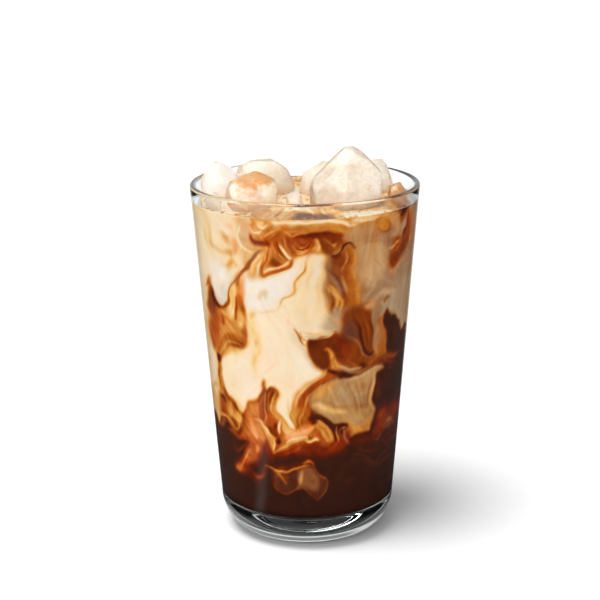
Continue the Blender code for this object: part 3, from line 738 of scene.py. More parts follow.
CENTRE_RIBBON = (
    cloud(MAHOGANY, 1.2, (0.2, 84.6), (1, 86.6), (4, 87), (9, 87.4), (13, 87.6), (16.6, 86.4), (17.8, 82),
          (19.8, 77), (16, 74), (12, 74.4), (10.4, 75), (8, 75.8), (5, 78), (2, 80.6), (0.6, 82.6)),
    blot(CHESTNUT, 4, (5, 82), (9, 79), (10, 77), share=0.9),
    blot(BLACK, 2.2, (1.6, 84.6), (3, 86), (7, 86.4), share=0.5),
    thread(SMOKE, 1.6, (-2, 87.6), (3, 87.8), (8, 88), (13, 88), (16, 88.8), edge=1),
    thread(BUFF, 1.4, (-1.6, 89.2), (4, 88.9), (10, 89), (16, 89.8)),
    thread(UMBER, 0.7, (1, 87), (5, 87.2), (10, 87.7), (13.6, 87.4), edge=0.8, share=0.7),
    cloud(HONEY, 1, (10.4, 82.6), (11.4, 83.4), (13.2, 82.8), (14.8, 81.2), (16.4, 78.6), (18.4, 76),
          (20.8, 74.2), (25, 73.2), (21, 73), (17.6, 73.4), (14.6, 72.6), (13, 71), (12.4, 73.4), (13, 76.6),
          (12.7, 80), (11.6, 81.8)),
    blot(GOLD, 1.4, (12.6, 82), (13.8, 79.6), (14.6, 77), share=0.8),
    thread(CARAMEL, 0.8, (12.8, 80.6), (13.4, 77), (13.2, 74), edge=0.9),
    thread(CARAMEL, 0.9, (15, 78), (15.6, 75.6), (17, 74), edge=1, share=0.7),
    thread(CHESTNUT, 0.8, (11.4, 82.2), (12.4, 79.6), (12.4, 75.4), (11.6, 73), (10.6, 71.4), edge=0.9),
    cloud(RUST, 1.8, (13, 75), (15, 73.4), (18, 72), (17, 70.4), (12, 69), (7, 67.4), (3, 64.4), (2, 60),
          (4, 55), (3, 51), (-2, 50.4), (-4, 54), (-8, 58), (-8.4, 62), (-6, 65.6), (-1, 68.4), (5, 70.6),
          (10, 73.4)),
    thread(BUFF, 1.5, (11, 74.6), (9.4, 71.8), (4, 69.6), (-1.4, 67), (-5.6, 64), (-7.4, 60.4), (-7, 56.4),
           edge=1.6),
    thread(RUST, 2, (13.4, 73.4), (10, 71), (5, 68.4), (0.4, 65.8), (-3.4, 62.8), (-4.2, 59.6), edge=1.6),
    thread(HONEY, 1.2, (8.4, 68), (3, 65), (-0.4, 62), (-1.8, 58)),
    thread(CARAMEL, 1.4, (14, 70), (8, 67), (3.4, 64.2), (0.6, 61.6)),
    cloud(HONEY, 1.6, (-6.4, 60), (-4.4, 59.4), (-3.8, 56), (-4, 53), (-6, 52), (-8.4, 53), (-8.6, 57)),
    blot(CARAMEL, 2.8, (0.2, 60), (-0.2, 56), (-0.4, 52)),
    thread(RUST, 1, (1.4, 61), (1.2, 57), (1.8, 53)),
    thread(HONEY, 0.8, (-2.4, 60), (-2.6, 56), (-3, 52), edge=1),
    thread(DUN, 1.2, (-12, 62), (-10.6, 57), (-8, 52), (-6.6, 50), edge=1.8, share=0.7),
    thread(CREAM, 1.6, (-12, 58), (-9.4, 54), (-7, 51), edge=1.4),
    thread(DUN, 0.8, (-9.4, 61), (-8, 57), (-6, 52.4), share=0.6),
)

SHEET = (
    cloud(KHAKI, 1.2, (1.4, 63), (6, 66.4), (11.6, 68.8), (17, 70.4), (20, 69.8), (25, 70), (30.4, 70.6),
          (38, 71.6), (44, 72.4), (49, 72), (51.2, 70.4), (48, 69.5), (45, 69), (43.9, 66.4), (43.6, 62),
          (44.2, 58), (46, 55.2), (46.6, 53), (44.8, 50.6), (42, 48.8), (40.6, 46), (37.6, 46.8), (33, 47.4),
          (29, 45.2), (26.8, 47.8), (25.4, 51.4), (21.6, 52.2), (16.6, 53), (9.8, 55.4), (4.8, 56.6),
          (2, 59.6)),
    blot(TAUPE, 6, (20, 66), (27, 63), (36, 61), share=0.55),
    blot(ROSEWOOD, 3.6, (17, 66), (21, 62), (26, 57), share=0.3),
    blot(HONEY, 3, (4, 62.6), (9, 65.4), (15, 68.4)),
    blot(STRAW, 2.6, (3.6, 59.8), (11, 58.6), (18, 57.4), (25, 56), share=0.7),
    thread(OLIVE, 0.9, (4, 61.8), (11, 60.6), (19, 59.4), (26, 58), edge=2.2, share=0.35),
    blot(KHAKI, 3, (6, 56.4), (14, 55), (22, 53.6), (28, 54), share=0.8),
    blot(OCHRE, 3.6, (27, 51), (31, 48), (38, 48.6), (43, 51)),
    blot(OLIVE, 3, (30, 51), (36, 51.6), (44, 54.6), share=0.4),
    thread(SMOKE, 0.9, (18, 69.4), (21, 65), (24, 60.4), (27, 58.4), edge=2.2, share=0.35),
    thread(UMBER, 0.8, (24, 69.4), (27.4, 63.6), (31, 58.6), (34, 56), edge=1.6, share=0.5),
    thread(HAZEL, 0.8, (21.6, 69.4), (25, 64), (29, 59), (33, 55), edge=1.6, share=0.5),
    thread(SMOKE, 0.8, (12, 67), (16, 62.6), (20, 59.4), edge=1.8, share=0.5),
    blot(SHADE, 2.6, (34, 67), (36, 63.4), share=0.3),
    thread(UMBER, 0.9, (29, 69), (32, 63), (35, 58), (38, 53), edge=2, share=0.4),
    thread(HAZEL, 0.9, (33, 70), (35, 64), (38, 57.6), (39, 52), edge=1.8, share=0.6),
    thread(BUFF, 1.7, (43, 71), (42.6, 64), (42.8, 58), (44.6, 54), edge=1.4, share=0.6),
    thread(UMBER, 0.8, (40, 69), (39.6, 63), (40, 57), edge=1.6, share=0.5),
    thread(SMOKE, 1.3, (20, 69.4), (27, 69.4), (34, 70.6), (41, 71.8), (48, 71.4), edge=1.4, share=0.6),
    thread(BLACK, 1.1, (11.8, 74.4), (14, 73), (16.6, 72.2), (19, 71.6)),
    thread(HAZEL, 1.5, (18.6, 73.6), (23, 72.8), (28.6, 72), (34, 72.2), (38, 73.4)),
    thread(MIST, 1, (19, 74.4), (24, 73.2), (29, 73.2), (34, 74), share=0.55),
    thread(MAHOGANY, 1.8, (36, 74.2), (42, 74), (48, 73.6), (56, 72.6), (64, 72), edge=1.4),
    cloud(CHESTNUT, 1.6, (38, 74), (43, 76.4), (49, 76.8), (54, 76.6), (59, 75.6), (68, 74.2), (59, 73.4),
          (50, 73.6), (43, 73.2)),
    blot(RUST, 1.6, (52, 75.6), (58, 75), (65, 74.4), share=0.8),
    thread(CARAMEL, 0.8, (40, 74.6), (45, 76.2), (51, 76.4), share=0.6),
    thread(UMBER, 0.8, (55, 71), (60, 70), (64, 68), edge=1.6, share=0.5),
    blot(CHESTNUT, 3.4, (46.6, 67), (47.6, 63), (48, 58), share=0.45),
    blot(EMBER, 3, (52, 68), (58, 67.4), share=0.3),
    blot(EMBER, 2.2, (70, 58.6), (76, 58), share=0.3),
)

FLAME_FRINGE = (
    cloud(COPPER, 1, (-30, 61.8), (-28, 63.6), (-26.2, 65), (-25.2, 67.6), (-24.6, 65.4), (-22.8, 65.2),
          (-20.8, 66.4), (-18.4, 66.2), (-17.6, 64.4), (-19.6, 61), (-20.2, 58), (-18.6, 55.8), (-15.4, 54.6),
          (-11.4, 52.2), (-9.4, 50.2), (-4, 51.4), (2, 52), (5.4, 54), (10, 53.6), (15, 50.6), (20, 48),
          (27, 50), (27, 44), (18, 42), (8, 42), (-2, 42), (-14, 40), (-22, 41), (-27, 45), (-27.4, 51),
          (-29, 56)),
    cloud(EMBER, 2.4, (-26, 45), (-16, 41.4), (-6, 44), (6, 44.4), (16, 46), (24, 48), (28, 46), (22, 41),
          (8, 39.6), (-6, 39), (-18, 38), (-27, 41)),
    thread(CHESTNUT, 1.3, (-31, 60.6), (-28.4, 63), (-26, 64.6), (-23.4, 64.6), (-21, 66), (-18.8, 65.8)),
    blot(RUST, 2.2, (-28, 61.4), (-27.4, 58), (-28, 55)),
    thread(CHESTNUT, 1, (-26.4, 63.4), (-26.8, 58), (-27.2, 53.6), share=0.8),
    thread(HONEY, 0.9, (-25.2, 64.4), (-25.6, 60), (-26, 55.4), (-26.6, 52), edge=1),
    thread(MAHOGANY, 0.9, (-24, 64.6), (-24.6, 60.6), (-24.8, 56), edge=1),
    thread(CARAMEL, 1, (-22.6, 64.6), (-23.6, 60.6), (-23.6, 56), edge=1),
    thread(MAHOGANY, 1.2, (-19.4, 65.4), (-21.6, 62.6), (-22.6, 59.6)),
    thread(GOLD, 0.9, (-18.6, 64.4), (-20.8, 61.4), (-21.8, 58.4), (-20.4, 55.4), (-17.4, 54), edge=1),
    thread(HONEY, 1.8, (-18.4, 62.6), (-20, 59.2), (-18.8, 56.2), (-15.6, 54.4), (-12.4, 52.2), (-9.6, 50.2),
           edge=1),
    blot(FLAME, 2.4, (-22, 56.6), (-20.6, 53), (-19, 51)),
    blot(EMBER, 1.6, (-20, 52.6), (-19, 50)),
    cloud(GOLD, 1, (-15.4, 53.6), (-12.6, 52.4), (-9.6, 50.2), (-10.8, 48.8), (-13, 49.2), (-15.2, 50.8)),
    thread(HONEY, 0.7, (-14.4, 52.6), (-12.6, 50.8), (-10.4, 49.6), edge=0.8),
    thread(TAN, 1.2, (-16.6, 53.6), (-17.4, 51), (-16.4, 48.4), edge=1),
    thread(CARAMEL, 0.7, (-15.6, 53.4), (-15.8, 50.6), (-15, 48.4), edge=0.8),
    thread(STRAW, 1.6, (-32.6, 53), (-29, 52.2), (-26.6, 50.6), (-25, 49), (-24, 47.4), (-21.4, 47),
           (-19.6, 46.6)),
    thread(BUFF, 0.9, (-29, 51), (-27, 49), (-25.4, 46.8), (-23.4, 46), edge=1),
    thread(CHESTNUT, 1, (-27.4, 51.8), (-24.6, 50.6), (-22.8, 49), (-20.6, 47.6), (-17.8, 46.8), edge=1),
    thread(MAHOGANY, 1.2, (-24, 50.6), (-21.6, 49.4), (-18, 47.6), edge=1.4, share=0.8),
    cloud(AMBER, 1.2, (-26, 47), (-21.6, 47), (-19.8, 45.6), (-20.4, 43), (-20.8, 40.6), (-22, 42),
          (-24, 44)),
    thread(STRAW, 0.8, (-21, 46.6), (-20.6, 44), (-20.8, 41.6), edge=0.9),
    blot(BLACK, 1.4, (-19, 45.4), (-17.4, 45), (-17, 46.4)),
    thread(AMBER, 2.4, (-20.4, 40.8), (-17, 41.8), (-12.6, 43.4), (-8.6, 45.6), (-4, 46.2), (0, 45.2),
           (3.4, 45.6), (6, 45.4)),
    thread(STRAW, 1.2, (-13, 45), (-9, 46.6), (-5, 47), (-1.6, 46.2)),
    thread(STRAW, 1, (-3, 44.6), (0.4, 44.2), (4, 45.4), (6.2, 45.6), edge=0.9),
    thread(CARAMEL, 0.8, (-17, 43.6), (-13, 45.4), (-11, 47.4), edge=0.9),
    thread(RUST, 0.9, (-18.6, 40.4), (-14, 41.8), (-9.4, 43.8), (-4, 44.4), (0, 43.2), (4, 44)),
    thread(FLAME, 1.2, (-14, 39.6), (-8, 41.4), (-3, 44), edge=1.8, share=0.5),
    cloud(PEACH, 2, (-12.6, 47), (-10, 50.2), (-4, 51.6), (2, 51.2), (5, 49.6), (2.6, 48), (-2.4, 47.2),
          (-7, 47)),
    blot(CORAL, 1.8, (-7, 50.6), (-1, 50.8), (3, 51.2), share=0.4),
    thread(CARAMEL, 1.6, (0.4, 46.6), (3, 48), (6, 49.4), (8.4, 50.6)),
    thread(CHESTNUT, 0.8, (-0.4, 47.2), (0, 45.6), (2.4, 46.4), edge=0.8),
    cloud(HONEY, 1.2, (5.4, 51), (6.2, 53.6), (8.6, 54), (12, 52.2), (15.2, 50), (16.6, 48.2), (15.4, 46.4),
          (12, 45.2), (9.4, 45), (7.4, 47.6)),
    thread(AMBER, 0.9, (6.6, 52.6), (8.8, 53.2), (12, 51.4), (14.8, 49.4), edge=1),
    thread(CARAMEL, 0.9, (7, 50.6), (10, 50.4), (12.6, 48.4), (14, 46.4), edge=1),
    thread(RUST, 1.2, (6.4, 49), (8, 47), (11, 45.6)),
    blot(RUST, 2.2, (8, 44.6), (12, 44.4), (14, 45.4)),
    blot(EMBER, 2.8, (23, 49), (19, 46), (15.6, 43.4), (12, 41), (10.4, 38.8), share=0.9),
    thread(RUST, 1.2, (20.6, 46.4), (17.6, 44.6), (14.6, 42.4), edge=1.8, share=0.6),
    thread(BLACK, 2, (2.4, 57.4), (2.6, 54.6), (4, 54.8), (8, 54.6), (12, 53.4), (15.6, 52), (19, 51.4),
           (23, 51.2), (26, 50.4)),
    blot(BLACK, 1.8, (3, 54.6), (4.4, 52.6), (3.6, 51.4), share=0.8),
    thread(BLACK, 1.2, (14.4, 52.6), (17, 50.6), (18, 48), (17.4, 45.8), edge=1),
    thread(HONEY, 0.8, (18.6, 52), (18.6, 49.4), (19.6, 47), (19, 45.6), edge=0.9),
    thread(UMBER, 1, (21, 50.6), (20.4, 48.6), (21.6, 46.6), edge=1),
    thread(BLACK, 1, (20, 50.6), (22.4, 49), (23.4, 47), edge=1, share=0.8),
    thread(DRAB, 1.2, (23.4, 50.4), (24, 47.4), (25, 44.6), (27.4, 42.6), edge=1, share=0.85),
    thread(DUN, 0.8, (20.6, 49.6), (23, 50.4), (25, 50), edge=0.9, share=0.7),
)

SAIL = (
    cloud(OLIVE, 1.4, (-24, 33.6), (-19, 32), (-12, 31.6), (-7, 32.6), (0, 35.6), (4, 35.2), (6, 32.8),
          (10, 30.8), (13, 29), (13, 26.6), (10, 23.6), (7, 22.2), (2, 23.8), (-4, 24.6), (-10, 24.2),
          (-16, 23.8), (-21, 25), (-23.6, 28), share=0.42),
    cloud(KHAKI, 1.6, (-4.6, 33), (0, 35.2), (3.6, 34.6), (6, 31), (7, 27.6), (5, 25.2), (0, 25), (-5, 25.6),
          (-5.6, 28), (-4.8, 31), share=0.55),
    cloud(CARAMEL, 1.4, (-24, 34.2), (-20, 31), (-15, 28), (-13, 29), (-11, 31.6), (-17, 32), share=0.5),
    blot(FAWN, 1.6, (-3.6, 32.4), (-4.4, 29), (-5.4, 26.4), share=0.6),
    thread(BUFF, 0.8, (-2.4, 33.6), (-3.8, 30), (-5, 26.6), (-8, 25), share=0.45),
    blot(SHADE, 1.6, (2, 30), (2.6, 27), share=0.4),
    blot(RUST, 2.4, (-22, 34.4), (-14, 33.6), (-7, 34.6), (-1, 37), share=0.55),
    thread(HONEY, 0.9, (-22, 33.2), (-18.6, 31.2), (-15.6, 28.8), (-14, 27.6), share=0.8),
    thread(AMBER, 1.1, (-28, 35.4), (-25, 34.8), (-21, 33.2), (-17, 32.4), (-12, 32.2), (-8, 33), (-4, 34.4),
           (0, 35.8), (2.4, 36), edge=1, share=0.92),
    thread(FLAME, 1.3, (-3, 36), (-0.6, 37), (1.6, 37.6), (3.6, 37), (4.8, 35.8)),
    thread(OCHRE, 0.7, (3.6, 36), (5.4, 33.4), (8.6, 31.2), (11.6, 30), (13.2, 28.4), edge=1, share=0.8),
    thread(KHAKI, 0.6, (13.2, 28.6), (12.6, 25.8), (10, 23.4), (7.4, 22), share=0.6),
    thread(OCHRE, 0.7, (-23, 27), (-21, 25), (-16, 23.8), (-10, 24), (-5, 24.9), (-1, 24.1), (3, 23.1),
           (7.4, 22), edge=1, share=0.75),
)

LOWER_RIGHT = (
    cloud(EMBER, 3, (46, 49), (49, 52.6), (55, 54.6), (64, 55.4), (72, 54), (80, 53), (92, 52), (92, 46),
          (78, 46.6), (68, 46.6), (60, 46.4), (52, 43), (46, 44)),
    blot(RUST, 2.6, (48, 49.6), (52, 51.4), (56, 53), share=0.5),
    blot(RUST, 2.8, (72, 49.6), (78, 49), (86, 50), share=0.4),
    cloud(UMBER, 1.8, (55.6, 47.4), (59, 50), (64, 50), (67.6, 48), (71, 45.8), (79, 44), (70, 44.2),
          (60, 44.8), (55, 46)),
    blot(FAWN, 1.6, (59, 48), (63, 48.8), (67, 47), share=0.5),
    thread(UMBER, 0.7, (56, 51), (62, 51), (67, 49), (70, 46.4), edge=1.4, share=0.5),
    thread(CARAMEL, 0.8, (56.6, 46), (54, 43.4), (50.6, 42), (45, 42.4), edge=1.4, share=0.55),
    blot(EMBER, 2.4, (26, 43.4), (34, 43), (42, 42.4), (47, 46), share=0.55),
    thread(EMBER, 1.4, (57, 41), (66, 42), (75, 41), (84, 39), (94, 37.6), edge=2.4, share=0.6),
    thread(UMBER, 1.8, (62, 38.6), (72, 38.4), (80, 37), (94, 35.6), edge=2.4, share=0.6),
    thread(UMBER, 0.8, (56, 41.4), (60, 39), (64, 36.4), (68, 35), edge=1.4, share=0.6),
    thread(SHADE, 0.8, (31, 38.4), (38, 35.8), (44, 33.6), (50, 33), (55, 34.6), (60, 35.2), (64, 33),
           (68, 31.6), share=0.55),
    thread(CHESTNUT, 0.8, (34, 40.4), (38, 38), (44, 37), (49, 38.4), edge=1.6, share=0.5),
    thread(MAHOGANY, 1.2, (30, 36), (40, 33), (56, 31.4), (72, 32), edge=2.6, share=0.4),
    blot(EMBER, 2.4, (24, 27.6), (32, 27), share=0.16),
    thread(EMBER, 1, (58, 21.4), (68, 21), (78, 20), edge=1.8, share=0.35),
)

UPPER_FINE = (
    cloud(TAN, 2, (-62, 137), (-23, 137), (-23, 131), (-29, 129), (-36, 129.8), (-46, 129.4), (-62, 130.6),
          share=0.9),
    blot(BLUSH, 2.6, (-38, 131.4), (-33, 130.4), (-30, 131), share=0.7),
    cloud(BLUSH, 2, (-35.5, 129.1), (-36.1, 124.3), (-33.2, 120.6), (-27.4, 119.9), (-25.4, 122.6),
          (-27.7, 126), (-29.7, 129.1)),
    blot(DUN, 3.6, (-31.6, 124.4), (-31, 122.4), share=0.7),
    thread(CREAM, 0.7, (-35.4, 129.4), (-36.3, 124.6), (-34.2, 121), (-30, 119.8), (-25.6, 119.8), share=0.8),
    cloud(AMBER, 1.2, (-30, 131.4), (-27.4, 128), (-23, 126.2), (-18, 127), (-14, 129.4), (-15, 132),
          (-20, 133.4), (-28, 134)),
    blot(COPPER, 1.6, (-28.6, 129.6), (-26.4, 128.4), share=0.6),
    blot(STRAW, 1.6, (-25, 130.6), (-22.4, 130.2), (-21.4, 131.4)),
    blot(CREAM, 1, (-24.4, 129.4), (-21, 129), (-18.4, 130.4), share=0.8),
    thread(CREAM, 0.5, (-29.4, 128.6), (-27, 127), (-23.4, 127.2), (-21, 128.6), edge=0.7, share=0.8),
    thread(CARAMEL, 0.6, (-22.6, 128.4), (-19.4, 127.8), (-16.6, 129), (-15.4, 131), edge=0.8, share=0.8),
    blot(CREAM, 1.6, (-16.6, 131.4), (-13.4, 131), share=0.8),
    cloud(RUST, 1.2, (-28.6, 126), (-26, 124.2), (-21.4, 124.4), (-18, 124.6), (-17, 122.8), (-19.4, 121.8),
          (-24, 122), (-27, 122.8)),
    thread(EMBER, 1.1, (-28.4, 125.8), (-26, 123.8), (-22.6, 123.4), (-19.4, 124), (-17.4, 122.4), edge=1),
    blot(MAHOGANY, 1.4, (-21.6, 123.2), (-18.6, 122.8), share=0.8),
    cloud(COPPER, 1.2, (-24, 125.4), (-19, 127), (-14, 128.6), (-10, 130), (-7.6, 128.4), (-11, 126),
          (-13.4, 122.6), (-16.4, 120), (-18, 123.6)),
    thread(BUFF, 0.9, (-22, 125.6), (-17, 127), (-12.4, 129), edge=1, share=0.8),
    thread(HONEY, 0.8, (-18, 125), (-14.6, 126.6), (-11.6, 128.4), edge=0.9, share=0.8),
    thread(RUST, 0.7, (-16.6, 124.6), (-14.6, 126), (-12.2, 127.8), edge=0.8, share=0.7),
    thread(HONEY, 0.9, (-16.8, 123.6), (-16.4, 120.6), (-15.6, 118), edge=1, share=0.8),
    thread(RUST, 0.8, (-14.8, 124.4), (-14.4, 121.6), (-14.8, 118.6), edge=0.9, share=0.8),
    cloud(HONEY, 1, (-31, 121.2), (-25, 121.2), (-20.4, 121.8), (-19.2, 120), (-23, 118.6), (-27, 119.8),
          share=0.8),
    blot(FLAME, 1.4, (-22.6, 120.6), (-20.4, 119.6), (-20.8, 117), share=0.6),
    thread(GOLD, 1.2, (-20.6, 120.4), (-24, 117), (-27.6, 113.6), (-30.4, 110.6), edge=1.4, share=0.7),
    thread(PLUM, 1, (-22.8, 120.6), (-26, 118.8), (-28.8, 116.6), (-32, 113.6), (-34.6, 111.8),
           (-38.4, 107.4), (-43, 104.4), share=0.85),
    thread(RUST, 0.7, (-18.8, 121.4), (-21, 116.6), (-22.6, 113.4), (-22.8, 110.8), edge=0.8),
    thread(RUST, 1.1, (-22.6, 110.7), (-18, 111.3), (-12.4, 113.4), (-8.4, 116), (-7, 117.8), edge=1),
    thread(CREAM, 0.6, (-21.6, 111.9), (-17.6, 112.8), (-13, 115), (-9.6, 117), edge=0.9, share=0.85),
    blot(MAHOGANY, 2.2, (-18.4, 114.9), (-14.4, 115.6), share=0.8),
    thread(CREAM, 0.8, (-13.2, 122.4), (-11.6, 120.8), (-9.6, 119), (-7.2, 118), edge=0.8),
    thread(MAHOGANY, 0.6, (-14.2, 123.6), (-12.8, 120.2), (-9.8, 117.4), edge=0.8),
    cloud(OCHRE, 1, (-4, 130.2), (4, 130.2), (13, 130.4), (22, 129), (21, 127.2), (10, 127.4), (0, 127.3),
          (-4.6, 128.2)),
    thread(HONEY, 0.8, (-2, 129.6), (5, 129.8), (12, 129.8), (18, 129), edge=1, share=0.8),
    thread(CREAM, 1, (-15, 131.2), (-8, 131), (0, 131.3), (10, 131.3), (18, 130.8), (23, 129.6), (26, 129.8),
           edge=1),
    thread(CREAM, 0.7, (24, 131.6), (29, 131), (35, 130.4), (41, 130.4), edge=0.9, share=0.8),
    blot(STRAW, 1.8, (26, 132), (33, 131.6), (40, 131.4), share=0.8),
    thread(OCHRE, 0.9, (24, 129.2), (30, 129.8), (36, 129.3), edge=1),
    cloud(EMBER, 1.1, (-6, 126.6), (-1, 127), (8, 127.1), (17, 126.9), (20, 125.6), (14, 124.4), (6, 124.8),
          (0, 125.4), (-5, 124.9)),
    thread(BLACK, 0.8, (-2, 126.4), (4, 126.6), (10, 126.7), (16, 126.1), share=0.6),
    thread(AMBER, 0.8, (-10, 127.6), (-6.6, 126.2), (-3, 127), (1, 127.4), edge=0.8, share=0.8),
    cloud(RUST, 1.2, (-7, 125), (0, 124.6), (3.4, 122.6), (0.6, 119.4), (-3, 118.8), (-6, 120), (-8.4, 122.6),
          share=0.8),
    thread(HONEY, 0.45, (-6, 122.6), (-3.6, 120.3), (0, 120.6), (2, 123), edge=0.7),
    thread(AMBER, 0.4, (-5, 123.6), (-3, 121.6), (-0.4, 121.6), (1, 123.4), edge=0.6, share=0.9),
    thread(EMBER, 0.5, (-4.4, 122.6), (-2.4, 120.9), (0.6, 121.4), (1.8, 124), edge=0.7),
    thread(EMBER, 0.5, (-3.6, 124.4), (-2, 122.7), (0, 123), edge=0.7, share=0.8),
    thread(CREAM, 0.6, (-4.4, 119.6), (-1.6, 119.2), (1.4, 120.4), edge=0.8, share=0.7),
    cloud(AMBER, 0.9, (3.6, 119.8), (4.2, 123), (5, 125), (6, 123.4), (6.4, 120.4)),
    thread(STRAW, 0.6, (5.6, 124.4), (5.7, 122.2), (5.2, 119.8), edge=0.8, share=0.8),
    cloud(CHESTNUT, 1, (7, 124.6), (12.4, 124.4), (13.4, 121.8), (10, 120), (7.6, 121.4)),
    thread(RUST, 0.6, (8, 123.8), (10.6, 122.6), (12, 120.8), edge=0.8),
    thread(AMBER, 0.5, (9, 125), (12.4, 123.4), (15.4, 122.6), edge=0.8, share=0.7),
    thread(OCHRE, 0.8, (13.8, 120.5), (16.4, 120.7), (18.6, 121.8), edge=0.8),
    blot(CHESTNUT, 2.6, (13.6, 117.6), (17, 117.4), (17.6, 115), share=0.85),
    thread(BUFF, 0.6, (20.6, 120.6), (20.4, 117), (19, 112.6), edge=1, share=0.6),
    cloud(FAWN, 2, (23, 129), (30, 129.2), (37, 128.8), (38, 126), (33, 124.8), (26, 124.4), (22.4, 125.4),
          share=0.7),
    cloud(OCHRE, 0.9, (38.4, 129.6), (43, 129.8), (47.4, 127.8), (48.6, 126), (46.2, 124.6), (42, 124.6),
          (38.4, 127)),
    thread(CHESTNUT, 0.6, (47.2, 128), (48.8, 126.2), (46.6, 124.5), (42, 124.6), (39.4, 126), edge=0.9,
           share=0.7),
    cloud(LATTE, 3, (26, 122.4), (36, 122.8), (44, 121), (46, 113), (43, 107), (35, 105), (29.6, 108),
          (27.6, 115), share=0.8),
    blot(LATTE, 2.6, (48.6, 130), (54, 129), (54, 124.6), (50, 123), share=0.9),
    thread(DRAB, 0.5, (28, 120.4), (33, 122.2), (40, 122), (45, 120.6), edge=1, share=0.7),
    thread(HAZEL, 0.5, (38, 115.4), (40.4, 113.2), (43, 111.2), edge=1, share=0.7),
    thread(BUFF, 0.9, (46.6, 117.8), (51, 118.4), (55.4, 121), edge=1, share=0.8),
)

MARBLING = (
    *UPPER_LEFT, *CENTRE_CREAM, *DARK_WEDGE, *LOWER_LEFT, *UPPER_FOLDS, *RIGHT_COLUMNS, *PALE_RAGS,
    *CENTRE_RIBBON, *SHEET, *ROSE_PLUME, *FLAME_FRINGE, *SAIL, *LOWER_RIGHT, *UPPER_FINE,
)


@dataclass(frozen=True)
class Eddies:
    """A slow, seeded swirling flow over the unrolled wall, the same again after each full turn.

    It is the curl of a sum of waves, so that it stirs without tearing or bunching.

    Attributes:
        seed: Which flow it is.
        size: How long its waves are, in millimetres.
        reach: How far it carries, in millimetres.
        waves: How many waves there are.
        steps: In how many steps it carries.
    """

    seed: int
    size: float
    reach: float
    waves: int = 9
    steps: int = 5

    def carry(
        self, x: np.ndarray, z: np.ndarray, share: np.ndarray | float = 1.0
    ) -> tuple[np.ndarray, np.ndarray]:
        """Moves points along the flow.

        Args:
            x: The way round the wall, in millimetres.
            z: The height, in millimetres.
            share: How much of the flow's reach each point takes.

        Returns:
            The moved x and z.
        """
        dice = np.random.default_rng(self.seed)
        length = self.size * dice.uniform(0.6, 1.7, self.waves)
        heading = dice.uniform(0, 2 * math.pi, self.waves)
        phase = dice.uniform(0, 2 * math.pi, self.waves)
        lap = 2 * math.pi * WALL_UNROLLED
        around = np.round(lap / length * np.cos(heading)) * 2 * math.pi / lap
        upward = 2 * math.pi / length * np.sin(heading)
        push = self.reach / math.sqrt(self.waves / 2) / np.hypot(around, upward).clip(0.01) / self.steps
        for _ in range(self.steps):
            turn = [np.cos(a * x + b * z + p) for a, b, p in zip(around, upward, phase)]
            along = sum(s * b * t for s, b, t in zip(push, upward, turn))
            up = sum(-s * a * t for s, a, t in zip(push, around, turn))
            x, z = x + along * share, z + up * share
        return x, z


def smooth_path(points: np.ndarray, closed: bool, cuts: int = 4) -> np.ndarray:
    """A smooth curve through points, as a denser run of points.

    Args:
        points: The corners that it passes through.
        closed: Whether it runs back to its start.
        cuts: Into how many each span is cut.

    Returns:
        The denser points.
    """
    if closed:
        padded = np.vstack([points[-1], points, points[0], points[1]])
    else:
        padded = np.vstack([2 * points[0] - points[1], points, 2 * points[-1] - points[-2]])
    before, start, end, after = padded[:-3], padded[1:-2], padded[2:-1], padded[3:]
    dense = []
    for step in range(cuts):
        t = step / cuts
        bend = (2 * before - 5 * start + 4 * end - after) * t ** 2
        twist = (3 * start - before - 3 * end + after) * t ** 3
        dense.append(0.5 * (2 * start + (end - before) * t + bend + twist))
    run = np.stack(dense, 1).reshape(-1, 2)
    return run if closed else np.vstack([run, points[-1]])


def fade(value: np.ndarray) -> np.ndarray:
    """An even step from 0 to 1 with soft ends."""
    value = value.clip(0, 1)
    return value * value * (3 - 2 * value)


def cover(
    stroke: Stroke, x: np.ndarray, z: np.ndarray, soft: np.ndarray | float = 0.0,
    unroll: float = math.radians(WALL_UNROLLED),
) -> np.ndarray:
    """How far a stroke covers each point of the unrolled wall.

    Args:
        stroke: The cloud or thread.
        x: The way round the wall, in millimetres.
        z: The height, in millimetres.
        soft: How much softer than its own edge it is drawn, in millimetres.
        unroll: How many millimetres one unit of the path's first number is.

    Returns:
        0 outside the stroke to its share inside.
    """
    path = np.array(stroke.path) * (unroll, 1)
    closed = stroke.width == 0
    run = smooth_path(path, closed)
    near, along = np.full(x.shape, np.inf), np.zeros(x.shape)
    inside = np.zeros(x.shape, bool)
    edge = stroke.edge + soft
    ends = np.vstack([run[1:], run[:1]]) if closed else run[1:]
    starts = run if closed else run[:-1]
    for i, (a, b) in enumerate(zip(starts, ends)):
        run_x, run_z = b - a
        t = (((x - a[0]) * run_x + (z - a[1]) * run_z) / max(run_x ** 2 + run_z ** 2, 1e-9)).clip(0, 1)
        away = np.hypot(x - a[0] - t * run_x, z - a[1] - t * run_z)
        closer = away < near
        near = np.where(closer, away, near)
        along = np.where(closer, i + t, along)
        if closed and abs(run_z) > 1e-9:
            crosses = ((z >= a[1]) != (z >= b[1])) & (x < a[0] + (z - a[1]) / run_z * run_x)
            inside ^= crosses
    if closed:
        return fade((np.where(inside, near, -near) / edge + 1) / 2) * stroke.share
    taper = THREAD_ENDS + (1 - THREAD_ENDS) * np.sin(math.pi * along / len(starts)) ** 0.6
    return fade((stroke.width * taper / 2 + edge / 2 - near) / edge) * stroke.share * taper ** 0.5


